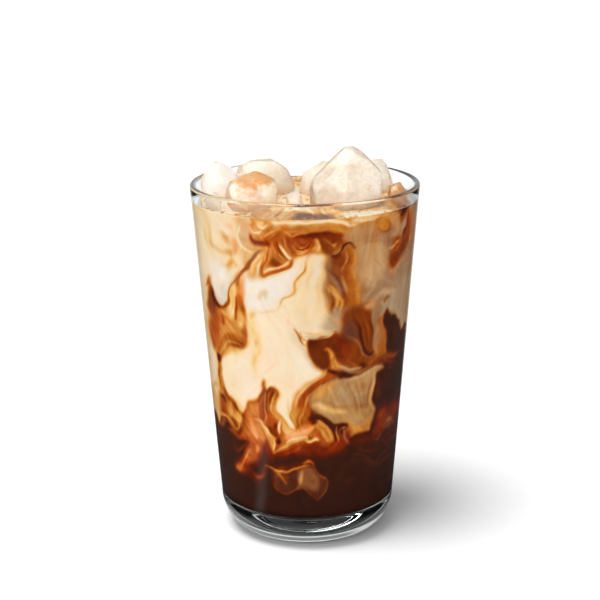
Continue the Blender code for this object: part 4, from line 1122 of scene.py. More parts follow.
def paint(degrees: np.ndarray, height: np.ndarray) -> np.ndarray:
    """Mixes milk into the coffee stroke by stroke.

    Args:
        degrees: The angle of each point round from the front.
        height: Its height above the foot in millimetres.

    Returns:
        Three columns, as in Tint.
    """
    one_degree = math.radians(WALL_UNROLLED)
    behind = fade((np.abs(degrees) - BACK_STARTS) / (BACK_STIRRED - BACK_STARTS))
    past = (np.abs(degrees) - BACK_MIRRORS).clip(0)
    round_wall = degrees * one_degree
    far_x, far_z = BACK_EDDIES.carry(round_wall, height, behind)
    x = far_x - 2 * past * np.sign(degrees) * one_degree
    z = far_z + BACK_SLIP * np.sin(np.radians(past) * 2) * np.sign(degrees)
    for eddies in FRONT_EDDIES:
        near_x, near_z = eddies.carry(round_wall, height)
        x, z = x + near_x - round_wall, z + near_z - height
    mix = np.zeros((len(x), 3))
    paler = fade((z - COFFEE_PALER_FROM) / (COFFEE_PALER_TO - COFFEE_PALER_FROM))
    mix[:, 0] = COFFEE_AT_FOOT + (COFFEE_AT_MARBLING - COFFEE_AT_FOOT) * paler
    soft = behind * BACK_SOFTNESS
    for stroke in MARBLING:
        path = np.array(stroke.path) * (one_degree, 1)
        reach = stroke.width + stroke.edge * 1.5 + 2
        low, high = path.min(0) - reach, path.max(0) + reach
        close = np.flatnonzero((x > low[0]) & (x < high[0]) & (z > low[1]) & (z < high[1]))
        if close.size:
            covered = cover(stroke, x[close], z[close], soft[close])[:, None]
            mix[close] += (np.array(stroke.tint) - mix[close]) * covered
    return mix


BACK_EDDIES = Eddies(seed=5, size=52, reach=15)
FRONT_EDDIES = (Eddies(seed=12, size=18, reach=0.6), Eddies(seed=21, size=7, reach=0.22))
STREAK_EDDIES = Eddies(seed=33, size=30, reach=6)


@dataclass(frozen=True)
class CoffeeAndMilk:
    """The drink's finish, from black coffee to milk: warm where coffee lies over milk, grey where under it.

    Attributes:
        warm: The colours from coffee to milk.
        grey: The same where the milk lies deeper.
        red: What turns a colour redder.
        yellow: What turns it yellower.
        depth: What the whole drink's colour is dimmed by.
        streak_strength: How much fine streaks change the milk.
        fold_strength: How much broad folds change it.
        hue_strength: How much the red varies.
        veil_strength: How much the grey varies.
        index_to_glass: The drink's index of refraction over the glass's.
        under: The pale colour painted in patches under the drink, a painted sheen for light spread in the
            base.
    """

    warm: tuple[tuple[float, str], ...] = (
        (0.0, "210D05"), (0.10, "3C1707"), (0.21, "521900"), (0.30, "6E2900"), (0.40, "923F04"),
        (0.50, "B86418"), (0.60, "DA923E"), (0.70, "EAB470"), (0.80, "F2CF9F"), (0.90, "F5DDBC"),
        (1.0, "F9E9D6"),
    )
    grey: tuple[tuple[float, str], ...] = (
        (0.0, "1E1410"), (0.10, "2E1E14"), (0.25, "4E382A"), (0.45, "7E6247"), (0.62, "A68A6A"),
        (0.75, "C0A88A"), (0.88, "D2C4B2"), (1.0, "EEEAE4"),
    )
    red: tuple[float, float, float] = (1.06, 0.54, 0.42)
    yellow: tuple[float, float, float] = (1.06, 1.08, 0.72)
    depth: tuple[float, float, float] = (0.92, 0.90, 0.88)
    streak_strength: float = 0.075
    fold_strength: float = 0.10
    hue_strength: float = 0.5
    veil_strength: float = 0.3
    index_to_glass: float = 0.893
    under: str = "CFCBC6"

    def material(self) -> bpy.types.Material:
        """The wall's material, which reads the mix and the streaks' flow from the mesh."""
        look = Finish("coffee_and_milk")
        milk, veil, red = look.parts(look.stored("mix"))
        flow = look.stored("flow")
        long = look.vector("MULTIPLY", flow, (1.0, 0.45, 1.0))
        streaks = look.grain(long, 0.6, detail=7, rough=0.7)
        folds = look.grain(long, 0.13, detail=2, rough=0.5, twist=0.4)
        hues = look.grain(flow, 0.11, detail=3, rough=0.5, twist=0.8)
        middling = (milk * (1 - milk) * 4).step(0.1, 0.9)
        stirred = milk + (streaks - 0.5) * (middling * 0.9 + 0.5) * self.streak_strength * 2
        stirred = stirred + (folds - 0.5) * (middling * 0.9 + 0.35) * self.fold_strength * 2
        red = red + (hues - 0.5) * self.hue_strength * 2
        veil = veil + (look.grain(flow, 0.17, detail=4, rough=0.55, twist=1.2) - 0.5) * self.veil_strength * 2
        colour = look.blend(veil, look.ramp(stirred, self.warm), look.ramp(stirred, self.grey))
        redder = look.vector("MULTIPLY", colour, self.red)
        yellower = look.vector("MULTIPLY", colour, self.yellow)
        colour = look.blend(red.larger(0.0), colour, redder)
        colour = look.blend((0 - red).larger(0.0), colour, yellower)
        colour = look.vector("MULTIPLY", colour, self.depth)
        at = look.place()
        low = look.parts(at)[2] / MM
        # Painted light: the underside is paled in patches, standing in for light spread through the glass's
        # base.
        painted_sheen = look.grain(at, 90, detail=2, rough=0.5, twist=1.6).step(0.40, 0.5)
        under = low.step(FLOOR_THICKNESS + 0.9, FLOOR_THICKNESS) * (0.12 + painted_sheen * 0.88)
        colour = look.blend(under, colour, linear(self.under))
        liquid = look.node("ShaderNodeBsdfPrincipled", None, {
            "Base Color": colour, "Roughness": 1.0, "Specular IOR Level": 0.0,
        })
        mirror = look.node("ShaderNodeBsdfGlossy", None, {"Roughness": 0.02})
        grazing = look.node("ShaderNodeFresnel", None, {"IOR": self.index_to_glass})
        return look.done(look.node("ShaderNodeMixShader", None, {"Fac": grazing, 1: liquid, 2: mirror}))


@dataclass(frozen=True)
class Froth:
    """The finish of the drink's top: tan froth over coffee, wet, with fine bubbles."""

    bubble_mm: float = 0.9
    shades: tuple[tuple[float, str], ...] = (
        (0.0, "3A1608"), (0.26, "7E3A0E"), (0.42, "BE7626"), (0.56, "E2A95E"), (0.72, "F2D2A2"),
        (0.9, "FBEBD2"),
    )

    def material(self) -> bpy.types.Material:
        """The material of the top."""
        look = Finish("froth")
        at = look.place()
        milk = look.parts(look.stored("mix"))[0]
        swirl = look.grain(look.stored("flow"), 0.16, detail=5, rough=0.55, twist=1.2)
        bubbles = look.cells(at, 1 / (self.bubble_mm * MM))
        fine = look.cells(at, 2.3 / (self.bubble_mm * MM))
        rims = bubbles.step(0.25, 0.6) * 0.5 + fine.step(0.2, 0.6) * 0.5
        shade = milk + (swirl - 0.5) * 0.8 + (rims - 0.5) * 0.12
        gloss = look.grain(at, 600)
        inputs = {
            "Base Color": look.ramp(shade, self.shades), "Roughness": gloss * 0.2 + 0.08, "IOR": 1.34,
            "Normal": look.bump(rims, 0.25, 0.6), "Subsurface Weight": 0.2, "Subsurface Scale": 0.002,
        }
        return look.done(look.node("ShaderNodeBsdfPrincipled", None, inputs))


@dataclass
class Drink:
    """The coffee: its body against the glass, its frothy top, and loose bubbles on it, in millimetres.

    Attributes:
        front_sweep: The body's front: its angle in degrees and its steps.
        back_sweep: The same for its back.
        row_mm: How far apart its rows of points are.
        body_sunk: How far under the level it ends.
        top_steps: How many steps the top has round it.
        top_rings: How many rings it has.
        froth_edge: How far the froth stays off the glass.
        froth_depth: How far it reaches down into the body.
        froth_bump: How broad its bumps are.
        froth_relief: How high they are.
        froth_milk: How milky it is in the middle, and how much more at the glass.
        bubble_count: How many loose bubbles there are.
        bubble_sizes: The smallest bubble's radius, and how much larger the largest is.
        near_glass: The share of them that gather along the glass.
        seed: Where they lie.
        pools: Pools of milk and coffee on the froth, with paths in millimetres to the right and back.
    """

    front_sweep: tuple[float, int] = (190.0, 290)
    back_sweep: tuple[float, int] = (170.0, 150)
    row_mm: float = 0.55
    body_sunk: float = 0.5
    top_steps: int = 288
    top_rings: int = 84
    froth_edge: float = 0.4
    froth_depth: float = 0.9
    froth_bump: float = 3.2
    froth_relief: float = 0.16
    froth_milk: tuple[float, float] = (0.6, 0.12)
    bubble_count: int = 420
    bubble_sizes: tuple[float, float] = (0.22, 0.55)
    near_glass: float = 0.62
    seed: int = 7
    pools: tuple[Stroke, ...] = field(default_factory=lambda: (
        cloud(CREAM, 3.0, (8, -41), (12, -30), (22, -27), (31, -24), (34, -30), (20, -40)),
        blot(CREAM, 9.0, (-5, 26), (-4, 4), (-4, -20), (0, -27)),
        cloud(CREAM, 3.0, (-41, -20), (-32, -12), (-24, -27), (-26, -34), (-36, -30)),
        blot(HONEY, 3.0, (-40, -12), (-34, -24), (-27, -32)),
        cloud(CARAMEL, 2.4, (-10, -40), (-12, -28), (-4, -26), (2, -29), (12, -30), (11, -39), (2, -41)),
        cloud(COFFEE, 2.0, (-4, -38), (-3, -29), (3, -30), (9, -32), (9, -37.6), (2, -39.4)),
        blot(CARAMEL, 3.0, (-22, -27), (-25, -30), (-20, -34)),
        cloud(CARAMEL, 2.0, (36, -22), (30, -22), (28, -12), (38, -8), (41, -16)),
        blot(COFFEE, 2.4, (37, -14), (34, -20), share=0.8),
        blot(CARAMEL, 5.0, (-20, 33), (-6, 36), (10, 35), share=0.8),
        blot(COFFEE, 3.4, (-2, 33), (8, 33.6), share=0.7),
    ))

    def body(self) -> bpy.types.Object:
        """The drink up to its level, marbled where it meets the glass."""
        top = LEVEL + MENISCUS
        rows = round((top - FLOOR_THICKNESS - FLOOR_CORNER) / self.row_mm)
        low = FLOOR_THICKNESS + FLOOR_CORNER
        heights = [low + (top - low) * i / rows for i in range(1, rows + 1)]
        wall = [(inner_radius(z) + INTO_GLASS, z) for z in heights]
        edge = inner_radius(top) + INTO_GLASS
        sunk = LEVEL - self.body_sunk
        lip = [(edge - 0.5, top - 0.05), (edge - 1.4, (LEVEL + sunk) / 2), (edge - CREEP, sunk), (0, sunk)]
        floor = [(0, FLOOR_THICKNESS - INTO_GLASS), (12, FLOOR_THICKNESS - INTO_GLASS)]
        profile = floor + inside_corner(INTO_GLASS, 6) + wall + lip
        bm = spun(profile, [self.front_sweep, self.back_sweep])
        piece = shown("drink_body", bm, CoffeeAndMilk().material(), "coffee_and_milk", "drink")
        points = points_of(piece.data)
        degrees = np.degrees(np.arctan2(points[:, 0], -points[:, 1]))
        give(piece, "mix", paint(degrees, points[:, 2]))
        x, z = STREAK_EDDIES.carry(np.radians(degrees) * WALL_UNROLLED, points[:, 2])
        lap = x / WALL_UNROLLED
        give(piece, "flow", np.stack([WALL_UNROLLED * np.sin(lap), z, -WALL_UNROLLED * np.cos(lap)], 1))
        return piece

    def top_height(self, radius: np.ndarray) -> np.ndarray:
        """The height of the drink's top at some radii, in millimetres, with its climb at the glass."""
        edge = inner_radius(LEVEL)
        return LEVEL + MENISCUS * ((radius - edge + CREEP) / CREEP).clip(0, 1) ** 2

    def top(self) -> bpy.types.Object:
        """The frothy top, a thin disc that lies on the body."""
        edge = inner_radius(LEVEL) - self.froth_edge
        radii = [edge * i / self.top_rings for i in range(self.top_rings + 1)]
        upper = [(r, float(self.top_height(np.array(r))) + 0.02) for r in radii]
        low = LEVEL - self.froth_depth
        bm = spun(upper + [(edge, low), (0, low)], [(360.0, self.top_steps)])
        for vert in bm.verts:
            if vert.co.z > (LEVEL - self.froth_depth / 2) * MM:
                lift = noise.fractal(vert.co / (self.froth_bump * MM), 1.0, 2.2, 3)
                lift *= min(1.0, (edge * MM - vert.co.xy.length) / (2 * MM))
                vert.co.z += self.froth_relief * MM * lift
        piece = shown("froth_top", bm, Froth().material(), "coffee_and_milk", "drink")
        points = points_of(piece.data)
        x, y = STREAK_EDDIES.carry(points[:, 0], points[:, 1])
        give(piece, "flow", np.stack([x, y, points[:, 2]], 1))
        mix = np.zeros((len(points), 3))
        rim = fade((np.hypot(points[:, 0], points[:, 1]) - 30) / 12)
        mix[:, 0] = self.froth_milk[0] + self.froth_milk[1] * rim
        for pool in self.pools:
            covered = cover(pool, points[:, 0], points[:, 1], unroll=1.0)[:, None]
            mix += (np.array(pool.tint) - mix) * covered
        give(piece, "mix", mix)
        return piece

    def bubbles(self) -> bpy.types.Object:
        """Loose bubbles on the top, most of them along the glass."""
        dice = np.random.default_rng(self.seed)
        edge = inner_radius(LEVEL) - self.froth_edge
        bm = bmesh.new()
        for _ in range(self.bubble_count):
            size = self.bubble_sizes[0] + self.bubble_sizes[1] * dice.random() ** 3
            if dice.random() < self.near_glass:
                radius = edge - size - abs(dice.normal(0, 1.1))
            else:
                radius = edge * math.sqrt(dice.random()) * 0.96
            angle = dice.uniform(0, 2 * math.pi)
            height = float(self.top_height(np.array(radius))) + size * 0.25
            at = Matrix.Translation(Vector((radius * math.cos(angle), radius * math.sin(angle), height)) * MM)
            bmesh.ops.create_icosphere(bm, subdivisions=2 if size > 0.4 else 1, radius=size * MM, matrix=at)
        return shown("froth_bubbles", bm, BubbleFilm().material(), "coffee_and_milk")


@dataclass(frozen=True)
class BubbleFilm:
    """The finish of a bubble: a thin wet skin with a tint of coffee."""

    tint: str = "E9BE86"

    def material(self) -> bpy.types.Material:
        """The bubbles' material."""
        look = Finish("bubble_film")
        tint = look.blend(look.grain(look.place(), 900), linear(self.tint), linear("F7E6CC"))
        inputs = {"Base Color": tint, "Roughness": 0.08, "Transmission Weight": 0.75, "IOR": 1.12}
        return look.done(look.node("ShaderNodeBsdfPrincipled", None, inputs))


@dataclass(frozen=True)
class ClearGlass:
    """The tumbler's finish: clear glass that lets the lamps through to the drink."""

    tint: str = "FBFDFD"
    passes: str = "F8F9F9"
    heel_passes: str = "7A7A7A"
    heel_top: tuple[float, float] = (8.0, 17.0)
    index: float = 1.5

    def material(self) -> bpy.types.Material:
        """Glass to the eye, and clear to shadow and diffuse rays, so that the drink behind it is lit once."""
        look = Finish("clear_glass")
        wave = look.grain(look.place(), 26, detail=1)
        glass = look.node("ShaderNodeBsdfGlass", {"distribution": "MULTI_GGX"}, {
            "Color": linear(self.tint), "Roughness": 0.0, "IOR": self.index,
            "Normal": look.bump(wave, 0.05, 0.12),
        })
        wall = look.node("ShaderNodeBsdfTransparent", None, {"Color": linear(self.passes)})
        heel = look.node("ShaderNodeBsdfTransparent", None, {"Color": linear(self.heel_passes)})
        height = look.parts(look.place())[2] / MM
        clear = look.node("ShaderNodeMixShader", None, {"Fac": height.step(*self.heel_top), 1: heel, 2: wall})
        both = {"Fac": look.ray("Is Shadow Ray").larger(look.ray("Is Diffuse Ray")), 1: glass, 2: clear}
        return look.done(look.node("ShaderNodeMixShader", None, both))


@dataclass
class Tumbler:
    """The glass: a conical wall on a thick base with a rounded heel and a fire-polished rim."""

    steps: int = 256
    wall_rows: int = 40
    arc_steps: int = 14

    def section(self) -> list[tuple[float, float]]:
        """The whole section from the axis under the foot round to the axis on the inside floor."""
        foot = outer_radius(HEEL_HEIGHT) - HEEL_REACH
        punt = foot - FOOT_RING_WIDTH
        hollow = [(punt * i / 12, PUNT_DEPTH * (1 - (i / 12) ** 2)) for i in range(13)]
        heel = arc((foot, HEEL_HEIGHT), (HEEL_REACH, HEEL_HEIGHT), 270, 360, self.arc_steps)
        lip = WALL_AT_RIM / 2
        shoulder = GLASS_HEIGHT - lip
        rise = (shoulder - HEEL_HEIGHT) / self.wall_rows
        up = [HEEL_HEIGHT + rise * i for i in range(1, self.wall_rows)]
        outside = [(outer_radius(z), z) for z in up]
        rim = arc((outer_radius(shoulder) - lip, shoulder), (lip, lip), 0, 180, self.arc_steps)
        fall = (shoulder - FLOOR_THICKNESS - FLOOR_CORNER) / self.wall_rows
        down = [shoulder - fall * i for i in range(1, self.wall_rows)]
        inside = [(inner_radius(z), z) for z in down]
        corner = inside_corner(0.0, 8)[::-1]
        return hollow + heel + outside + rim + inside + corner + [(0.0, FLOOR_THICKNESS)]

    def build(self) -> bpy.types.Object:
        """The tumbler as one smooth turned piece."""
        bm = spun(self.section(), [(360.0, self.steps)])
        return shown("tumbler_glass", bm, ClearGlass().material(), "clear_glass", "tumbler")


@dataclass(frozen=True)
class IceLook:
    """The finish of one lump of ice.

    Attributes:
        pale: The colour of the clean ice.
        deep: The colour in its hollows.
        stain: The colour that the coffee leaves.
        speck: The colour of its fine specks.
        pore: The colour of its pores.
        washed: The colour where coffee has washed over it.
        capped: The colour of the coffee that lies on it.
        stained: How much of it is stained, from 0 to 1.
        pores: How many brown pores it has, from 0 to 1.
        wash_top: The height in millimetres up to which coffee has washed over it.
        clear: How much light goes straight through, from 0 to 1.
        top: The height in millimetres above which coffee lies on it.
        painted_glow: How strongly it glows of itself, painted light for the light through it from behind.
        thin: How clear its thin edges are, from 0 to 1.
    """

    pale: str = "FEFAF0"
    deep: str = "F8ECD8"
    stain: str = "D08A44"
    speck: str = "BE7028"
    pore: str = "9E5A22"
    washed: str = "DE9E5A"
    capped: str = "E2A04C"
    stained: float = 0.2
    pores: float = 0.4
    wash_top: float = 133.0
    clear: float = 0.5
    top: float = 200.0
    painted_glow: float = 0.06
    thin: float = 0.75

    def material(self, name: str) -> bpy.types.Material:
        """Cloudy wet ice: scattering inside, gloss outside, fine cracks, brown pores and stains of coffee."""
        look = Finish(name)
        at = look.place()
        height = look.parts(at)[2] / MM
        haze = look.grain(at, 150, detail=5, rough=0.6, twist=0.4)
        broad = look.grain(at, 62, detail=3, rough=0.5, twist=0.8)
        shake = look.node("ShaderNodeTexNoise", None, {"Vector": at, "Scale": 300.0, "Detail": 3.0}, "Color")
        shaken = look.vector("ADD", at, look.vector("MULTIPLY", shake, (0.004, 0.004, 0.004)))
        crack = look.cells(shaken, 360, "DISTANCE_TO_EDGE").step(0.05, 0.0)
        crack = crack * broad.step(0.42, 0.6)
        specks = look.cells(at, 900).step(0.34, 0.1) * haze.step(0.5, 0.6)
        pore = look.cells(at, 420).step(0.3, 0.1) * haze.step(0.66 - 0.16 * self.pores, 0.72)
        low = (height - self.wash_top).step(14.0, 2.0)
        rind = look.grain(at, 700, detail=4, rough=0.7).step(0.4, 0.6)
        colour = look.blend(rind, linear(self.pale), linear(self.deep))
        stain = (broad + self.stained * 0.5 - 0.62).step(0.0, 0.25)
        colour = look.blend(stain * (0.35 + 0.4 * self.stained), colour, linear(self.stain))
        colour = look.blend(specks * (0.15 + 0.45 * self.stained), colour, linear(self.speck))
        colour = look.blend(pore * low * 0.75, colour, linear(self.pore))
        wash = (height + (broad - 0.5) * 6).step(self.wash_top + 2.4, self.wash_top - 0.8)
        colour = look.blend(wash * 0.4, colour, linear(self.washed))
        cap = (height + (broad - 0.5) * 9 + (haze - 0.5) * 5).step(self.top - 4.0, self.top - 2.2)
        colour = look.blend(cap * (0.45 + 0.45 * haze.step(0.35, 0.6)), colour, linear(self.capped))
        frost = look.grain(at, 1400, detail=5, rough=0.7)
        relief = haze * 0.5 - crack * 0.3 + look.grain(at, 500, detail=4) * 0.3 + frost * 0.2
        normal = look.bump(relief, 0.5, 0.8)
        # Painted light: the ice glows faintly in its own colour, standing in for light through it from
        # behind.
        frosted = look.node("ShaderNodeBsdfPrincipled", None, {
            "Base Color": colour, "Roughness": frost.step(0.35, 0.6) * 0.25 + 0.05, "Normal": normal,
            "IOR": 1.31, "Emission Color": colour, "Emission Strength": self.painted_glow,
            "Subsurface Weight": 1.0, "Subsurface Radius": (1.0, 0.9, 0.78), "Subsurface Scale": 0.009,
        })
        clear = look.node("ShaderNodeBsdfPrincipled", None, {
            "Base Color": colour, "Roughness": 0.3, "Normal": normal, "IOR": 1.1, "Transmission Weight": 1.0,
        })
        facing = look.node("ShaderNodeLayerWeight", None, {"Blend": 0.4, "Normal": normal}, "Facing")
        share = ((1 - crack) * broad.step(0.35, 0.6) * 0.6 + 0.4) * self.clear
        share = share + (1 - share) * facing.step(0.3, 0.9) * self.thin
        return look.done(look.node("ShaderNodeMixShader", None, {"Fac": share, 1: frosted, 2: clear}))


@dataclass
class Lump:
    """One lump of ice, from its solid.

    Attributes:
        node: The solid that it stands for.
        look: Its finish.
        slot: The record's material slot.
        melt: How far the surface is worn away from the solid at most, in millimetres.
        seed: Which wear and facets it has.
        edge_mm: How fine its mesh is.
        facets: How many facets are broken off.
        break_mm: How deep they go at most, in millimetres.
        sharp_deg: From which angle an edge is sharp.
    """

    node: str
    look: IceLook
    slot: str = CLEAN
    melt: float = 0.35
    seed: int = 1
    edge_mm: float = 0.55
    facets: int = 46
    break_mm: float = 1.3
    sharp_deg: float = 24.0

    def build(self) -> bpy.types.Object:
        """The solid's form with finer faces, worn by melting, always inside the solid."""
        bm = bmesh.new()
        bm.from_mesh(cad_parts[self.node].data)
        bm.transform(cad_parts[self.node].matrix_world)
        bmesh.ops.remove_doubles(bm, verts=bm.verts, dist=MERGE)
        for _ in range(5):
            long = [edge for edge in bm.edges if edge.calc_length() > self.edge_mm * MM * 1.6]
            if not long:
                break
            bmesh.ops.subdivide_edges(bm, edges=long, cuts=1, use_grid_fill=True)
            bmesh.ops.triangulate(bm, faces=[face for face in bm.faces if len(face.verts) > 3])
        self.break_facets(bm)
        bmesh.ops.recalc_face_normals(bm, faces=bm.faces)
        bm.normal_update()
        shift = Vector((self.seed * 3.7, self.seed * 1.9, self.seed * 5.3))
        for vert in bm.verts:
            spot = vert.co / (3.4 * MM) + shift
            wear = 0.5 + 0.5 * noise.fractal(spot, 0.9, 2.1, 5)
            pit = max(0.0, noise.noise(vert.co / (1.3 * MM) + shift) - 0.25)
            vert.co -= vert.normal * self.melt * MM * (0.62 * min(max(wear, 0.0), 1.0) + 0.5 * pit)
        piece = shown(self.node + "_lump", bm, self.look.material(self.node), self.slot, self.node)
        piece.data.set_sharp_from_angle(angle=math.radians(self.sharp_deg))
        return piece

    def break_facets(self, bm: bmesh.types.BMesh) -> None:
        """Breaks flat facets off all round, each no deeper than break_mm."""
        dice = np.random.default_rng(self.seed)
        points = np.array([vert.co for vert in bm.verts])
        for _ in range(self.facets):
            facing = dice.normal(size=3)
            facing /= np.linalg.norm(facing)
            along = points @ facing
            cut = along.max() - dice.uniform(0.3, 1.0) * self.break_mm * MM
            points -= np.outer((along - cut).clip(0), facing)
        for vert, point in zip(bm.verts, points):
            vert.co = point


@dataclass
class Ice:
    """All the ice that stands out of the drink."""

    lumps: tuple[Lump, ...] = (
        Lump("ice_left", IceLook(pale="FFFDF8", deep="FAF3E6", stained=0.0, pores=0.1, painted_glow=0.12), seed=1),
        Lump("ice_left_low", IceLook(pale="F8EAD6", stained=0.45), STAINED, seed=2),
        Lump("ice_back_left", IceLook(pale="F6F0E4", deep="F0E4D2", stained=0.0, pores=0.6), seed=3),
        Lump("ice_front_left", IceLook(pale="FFF6EA", deep="F8DEBC", pores=0.5, top=144.0), STAINED, seed=4),
        Lump("ice_front", IceLook(pale="EECB98", deep="DCA25C", stained=0.8, wash_top=126), STAINED, seed=5),
        Lump("ice_middle", IceLook(stained=0.0, painted_glow=0.14), seed=6),
        Lump("ice_front_right", IceLook(pale="F1EADF", deep="E8DCCB", stained=0.0, pores=1.0), seed=7),
        Lump("ice_back", IceLook(stained=0.0, painted_glow=0.10), seed=8),
        Lump("ice_back_right", IceLook(stained=0.0, painted_glow=0.10), seed=9),
        Lump("ice_right", IceLook(pale="F4DAB2", deep="E0AE70", stained=0.6, pores=0.6), STAINED, seed=10),
    )

    def build(self) -> list[bpy.types.Object]:
        """Every lump."""
        return [lump.build() for lump in self.lumps]


@dataclass(frozen=True)
class PhotoCamera:
    """The camera that was fitted to the photograph. Angles are in radians, the place in millimetres."""

    place: tuple[float, float, float] = (-2.2128, -578.35, 250.65)
    pitch_down: float = 0.269455
    roll: float = -0.0088527
    focal_pixels: float = 1540.8
    picture_pixels: float = 600.0
    sensor_mm: float = 36.0

    def build(self) -> bpy.types.Object:
        """Adds the camera and makes it the scene's."""
        lens = bpy.data.cameras.new("photo_camera")
        lens.sensor_width = self.sensor_mm
        lens.lens = self.focal_pixels * self.sensor_mm / self.picture_pixels
        lens.clip_start = 0.01
        lens.dof.use_dof = False
        camera = bpy.data.objects.new("photo_camera", lens)
        turn = Matrix.Rotation(math.pi / 2 - self.pitch_down, 4, "X") @ Matrix.Rotation(self.roll, 4, "Z")
        camera.matrix_world = Matrix.Translation(Vector(self.place) * MM) @ turn
        bpy.context.scene.collection.objects.link(camera)
        bpy.context.scene.camera = camera
        return camera


@dataclass(frozen=True)
class Sunlight:
    """A broad even light from one side, as from a large softbox far off.

    Attributes:
        name: Its name.
        azimuth: Degrees from the front, to the right.
        height: Its height angle in degrees.
        spread: How wide it looks, in degrees.
        strength: Its strength.
    """

    name: str
    azimuth: float
    height: float
    spread: float
    strength: float

    def build(self) -> bpy.types.Object:
        """Adds the light."""
        light = bpy.data.lights.new(self.name, "SUN")
        light.angle = math.radians(self.spread)
        light.energy = self.strength
        lamp = bpy.data.objects.new(self.name, light)
        side, rise = math.radians(self.azimuth), math.radians(self.height)
        away = Vector((math.sin(side) * math.cos(rise), -math.cos(side) * math.cos(rise), math.sin(rise)))
        lamp.matrix_world = away.to_track_quat("Z", "Y").to_matrix().to_4x4()
        bpy.context.scene.collection.objects.link(lamp)
        return lamp


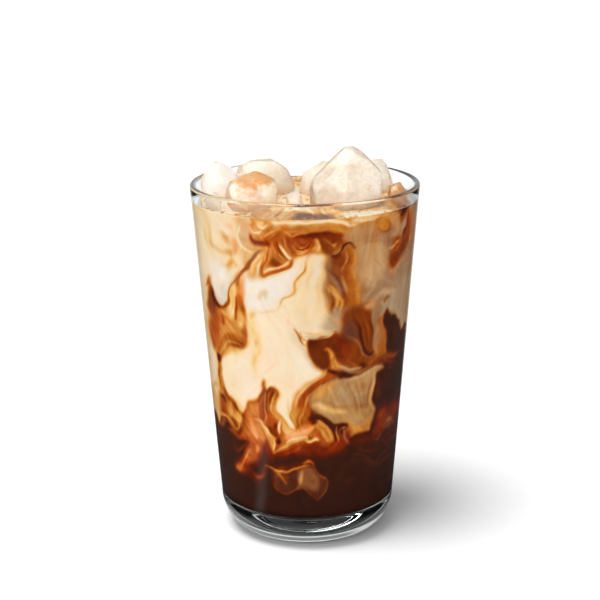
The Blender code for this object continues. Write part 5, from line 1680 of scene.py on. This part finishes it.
@dataclass
class Studio:
    """The pale floor, the room and the soft lights.

    Attributes:
        floor_reach: Half the floor's width in metres.
        ambient: How bright the room is as a light on matt surfaces.
        backdrop: How bright it is to the eye, straight or through the glass.
        mirrored: How bright it is in reflections, apart from the softboxes.
        seen_through: How bright the grey card is that only the glass shows.
        card: Between which heights the card stands, as the sine of the angle.
        floor_mirrored: The floor's colour in reflections.
        glint: The bearings from the front to the left, in degrees, between which the floor mirrors brightly.
        bright_behind: Between which bearings, in degrees from the front, the floor starts to mirror brightly.
        bright_round: How far from the glass's axis the floor mirrors brightly all round, in metres.
        flag: How far out at the right the floor is seen dark through the glass, in metres.
        lights: The lights.
    """

    floor_reach: float = 30.0
    ambient: float = 0.25
    backdrop: float = 1.0
    mirrored: float = 0.10
    seen_through: float = 0.30
    card: tuple[float, float] = (0.10, 0.40)
    floor_mirrored: str = "3C3C3C"
    glint: tuple[float, float] = (43.0, 54.0)
    bright_behind: tuple[float, float] = (145.0, 170.0)
    flag: float = 0.16
    bright_round: float = 0.037
    lights: tuple[Sunlight, ...] = (
        Sunlight("key", -65.0, 73.0, 32.0, 2.6),
        Sunlight("front", -12.0, 12.0, 60.0, 1.3),
        Sunlight("side", -62.0, 12.0, 50.0, 0.8),
        Sunlight("fill", 65.0, 10.0, 50.0, 0.95),
    )

    def floor(self) -> bpy.types.Object:
        """The floor that the glass stands on."""
        bm = bmesh.new()
        bmesh.ops.create_grid(bm, x_segments=1, y_segments=1, size=self.floor_reach)
        mesh = bpy.data.meshes.new("floor")
        bm.to_mesh(mesh)
        bm.free()
        look = Finish("pale_floor")
        faint = look.grain(look.place(), 3.0)
        colour = look.blend(faint, linear("FCFCFC"), linear("FEFEFE"))
        white = look.node("ShaderNodeBsdfDiffuse", None, {"Color": colour})
        dark = look.node("ShaderNodeBsdfDiffuse", None, {"Color": linear(self.floor_mirrored)})
        x, y, _ = look.parts(look.place())
        bearing = look.node("ShaderNodeMath", {"operation": "ARCTAN2"}, {0: 0 - x, 1: 0 - y})
        bearing = bearing * math.degrees(1)
        behind = (bearing * bearing).step(self.bright_behind[0] ** 2, self.bright_behind[1] ** 2)
        low, high = self.glint
        glint = bearing.step(low - 5, low + 5) * bearing.step(high + 5, high - 5) * 0.35
        through = look.ray("Is Transmission Ray")
        outside = look.ray("Transmission Depth").step(0.6, 0.4)
        far = (x * x + y * y).step(self.bright_round ** 2, (self.bright_round * 1.25) ** 2)
        mirrored = look.ray("Is Glossy Ray") * outside * (1 - behind) * (1 - glint) * far
        once = look.ray("Transmission Depth").step(3.6, 3.4)
        aside = x.step(self.flag, self.flag * 1.6) * once * 0.5
        mesh.materials.append(look.done(look.node("ShaderNodeMixShader", None, {
            "Fac": mirrored.larger(through * aside), 1: white, 2: dark,
        })))
        plane = bpy.data.objects.new("floor", mesh)
        bpy.context.scene.collection.objects.link(plane)
        return plane

    def room(self) -> bpy.types.World:
        """White behind the glass and dark round the viewer, with softboxes that only reflections show."""
        look = Finish("room", world=True)
        x, y, z = look.parts(look.node("ShaderNodeTexCoord", output="Generated"))
        through = look.ray("Is Transmission Ray")
        mirrored = look.ray("Is Glossy Ray") * (1 - through) * look.ray("Transmission Depth").step(0.6, 0.4)
        inside = look.ray("Is Glossy Ray") * (1 - through) * look.ray("Transmission Depth").step(0.4, 0.6)
        diffuse = look.ray("Is Diffuse Ray")
        low, high = self.card
        once = look.ray("Transmission Depth").step(3.6, 3.4)
        card = z.step(low - 0.03, low + 0.03) - z.step(high - 0.03, high + 0.03)
        card = card * x.step(-0.55, -0.3) * once
        beyond = card * (self.seen_through - self.backdrop) + self.backdrop
        behind = y.step(0.35, 0.75) * (self.backdrop - self.mirrored) + self.mirrored
        left_box = x.step(-0.80, -0.90) * (z.step(-0.05, 0.1) - z.step(0.55, 0.7))
        right_box = x.step(0.86, 0.93) * (z.step(0.05, 0.2) - z.step(0.5, 0.65))
        top_box = z.step(0.80, 0.9)
        shine = left_box * 1.2 + right_box * 0.5 + top_box * 0.7
        plain = (1 - through) * (1 - mirrored) * (1 - inside) * (1 - diffuse)
        strength = plain * self.backdrop + (through + inside) * beyond + mirrored * (behind + shine)
        strength = strength + diffuse * self.ambient
        return look.done(look.node("ShaderNodeBackground", None, {"Strength": strength}))

    def build(self) -> None:
        """Sets the stage."""
        self.floor()
        scene = bpy.context.scene
        scene.world = self.room()
        for light in self.lights:
            light.build()
        PhotoCamera().build()
        scene.view_settings.view_transform = "Standard"
        scene.view_settings.look = "None"
        scene.cycles.max_bounces = 26
        scene.cycles.transmission_bounces = 24
        scene.cycles.transparent_max_bounces = 16


def main() -> None:
    """Builds and dresses every piece in order, then the studio."""
    logging.basicConfig(level=logging.INFO, format="%(message)s")
    drink = Drink()
    pieces = [Tumbler().build(), drink.body(), drink.top(), drink.bubbles(), *Ice().build()]
    for piece in pieces:
        log.info("%s: %d faces", piece.name, len(piece.data.polygons))
    Studio().build()


if __name__ == "__main__":
    main()
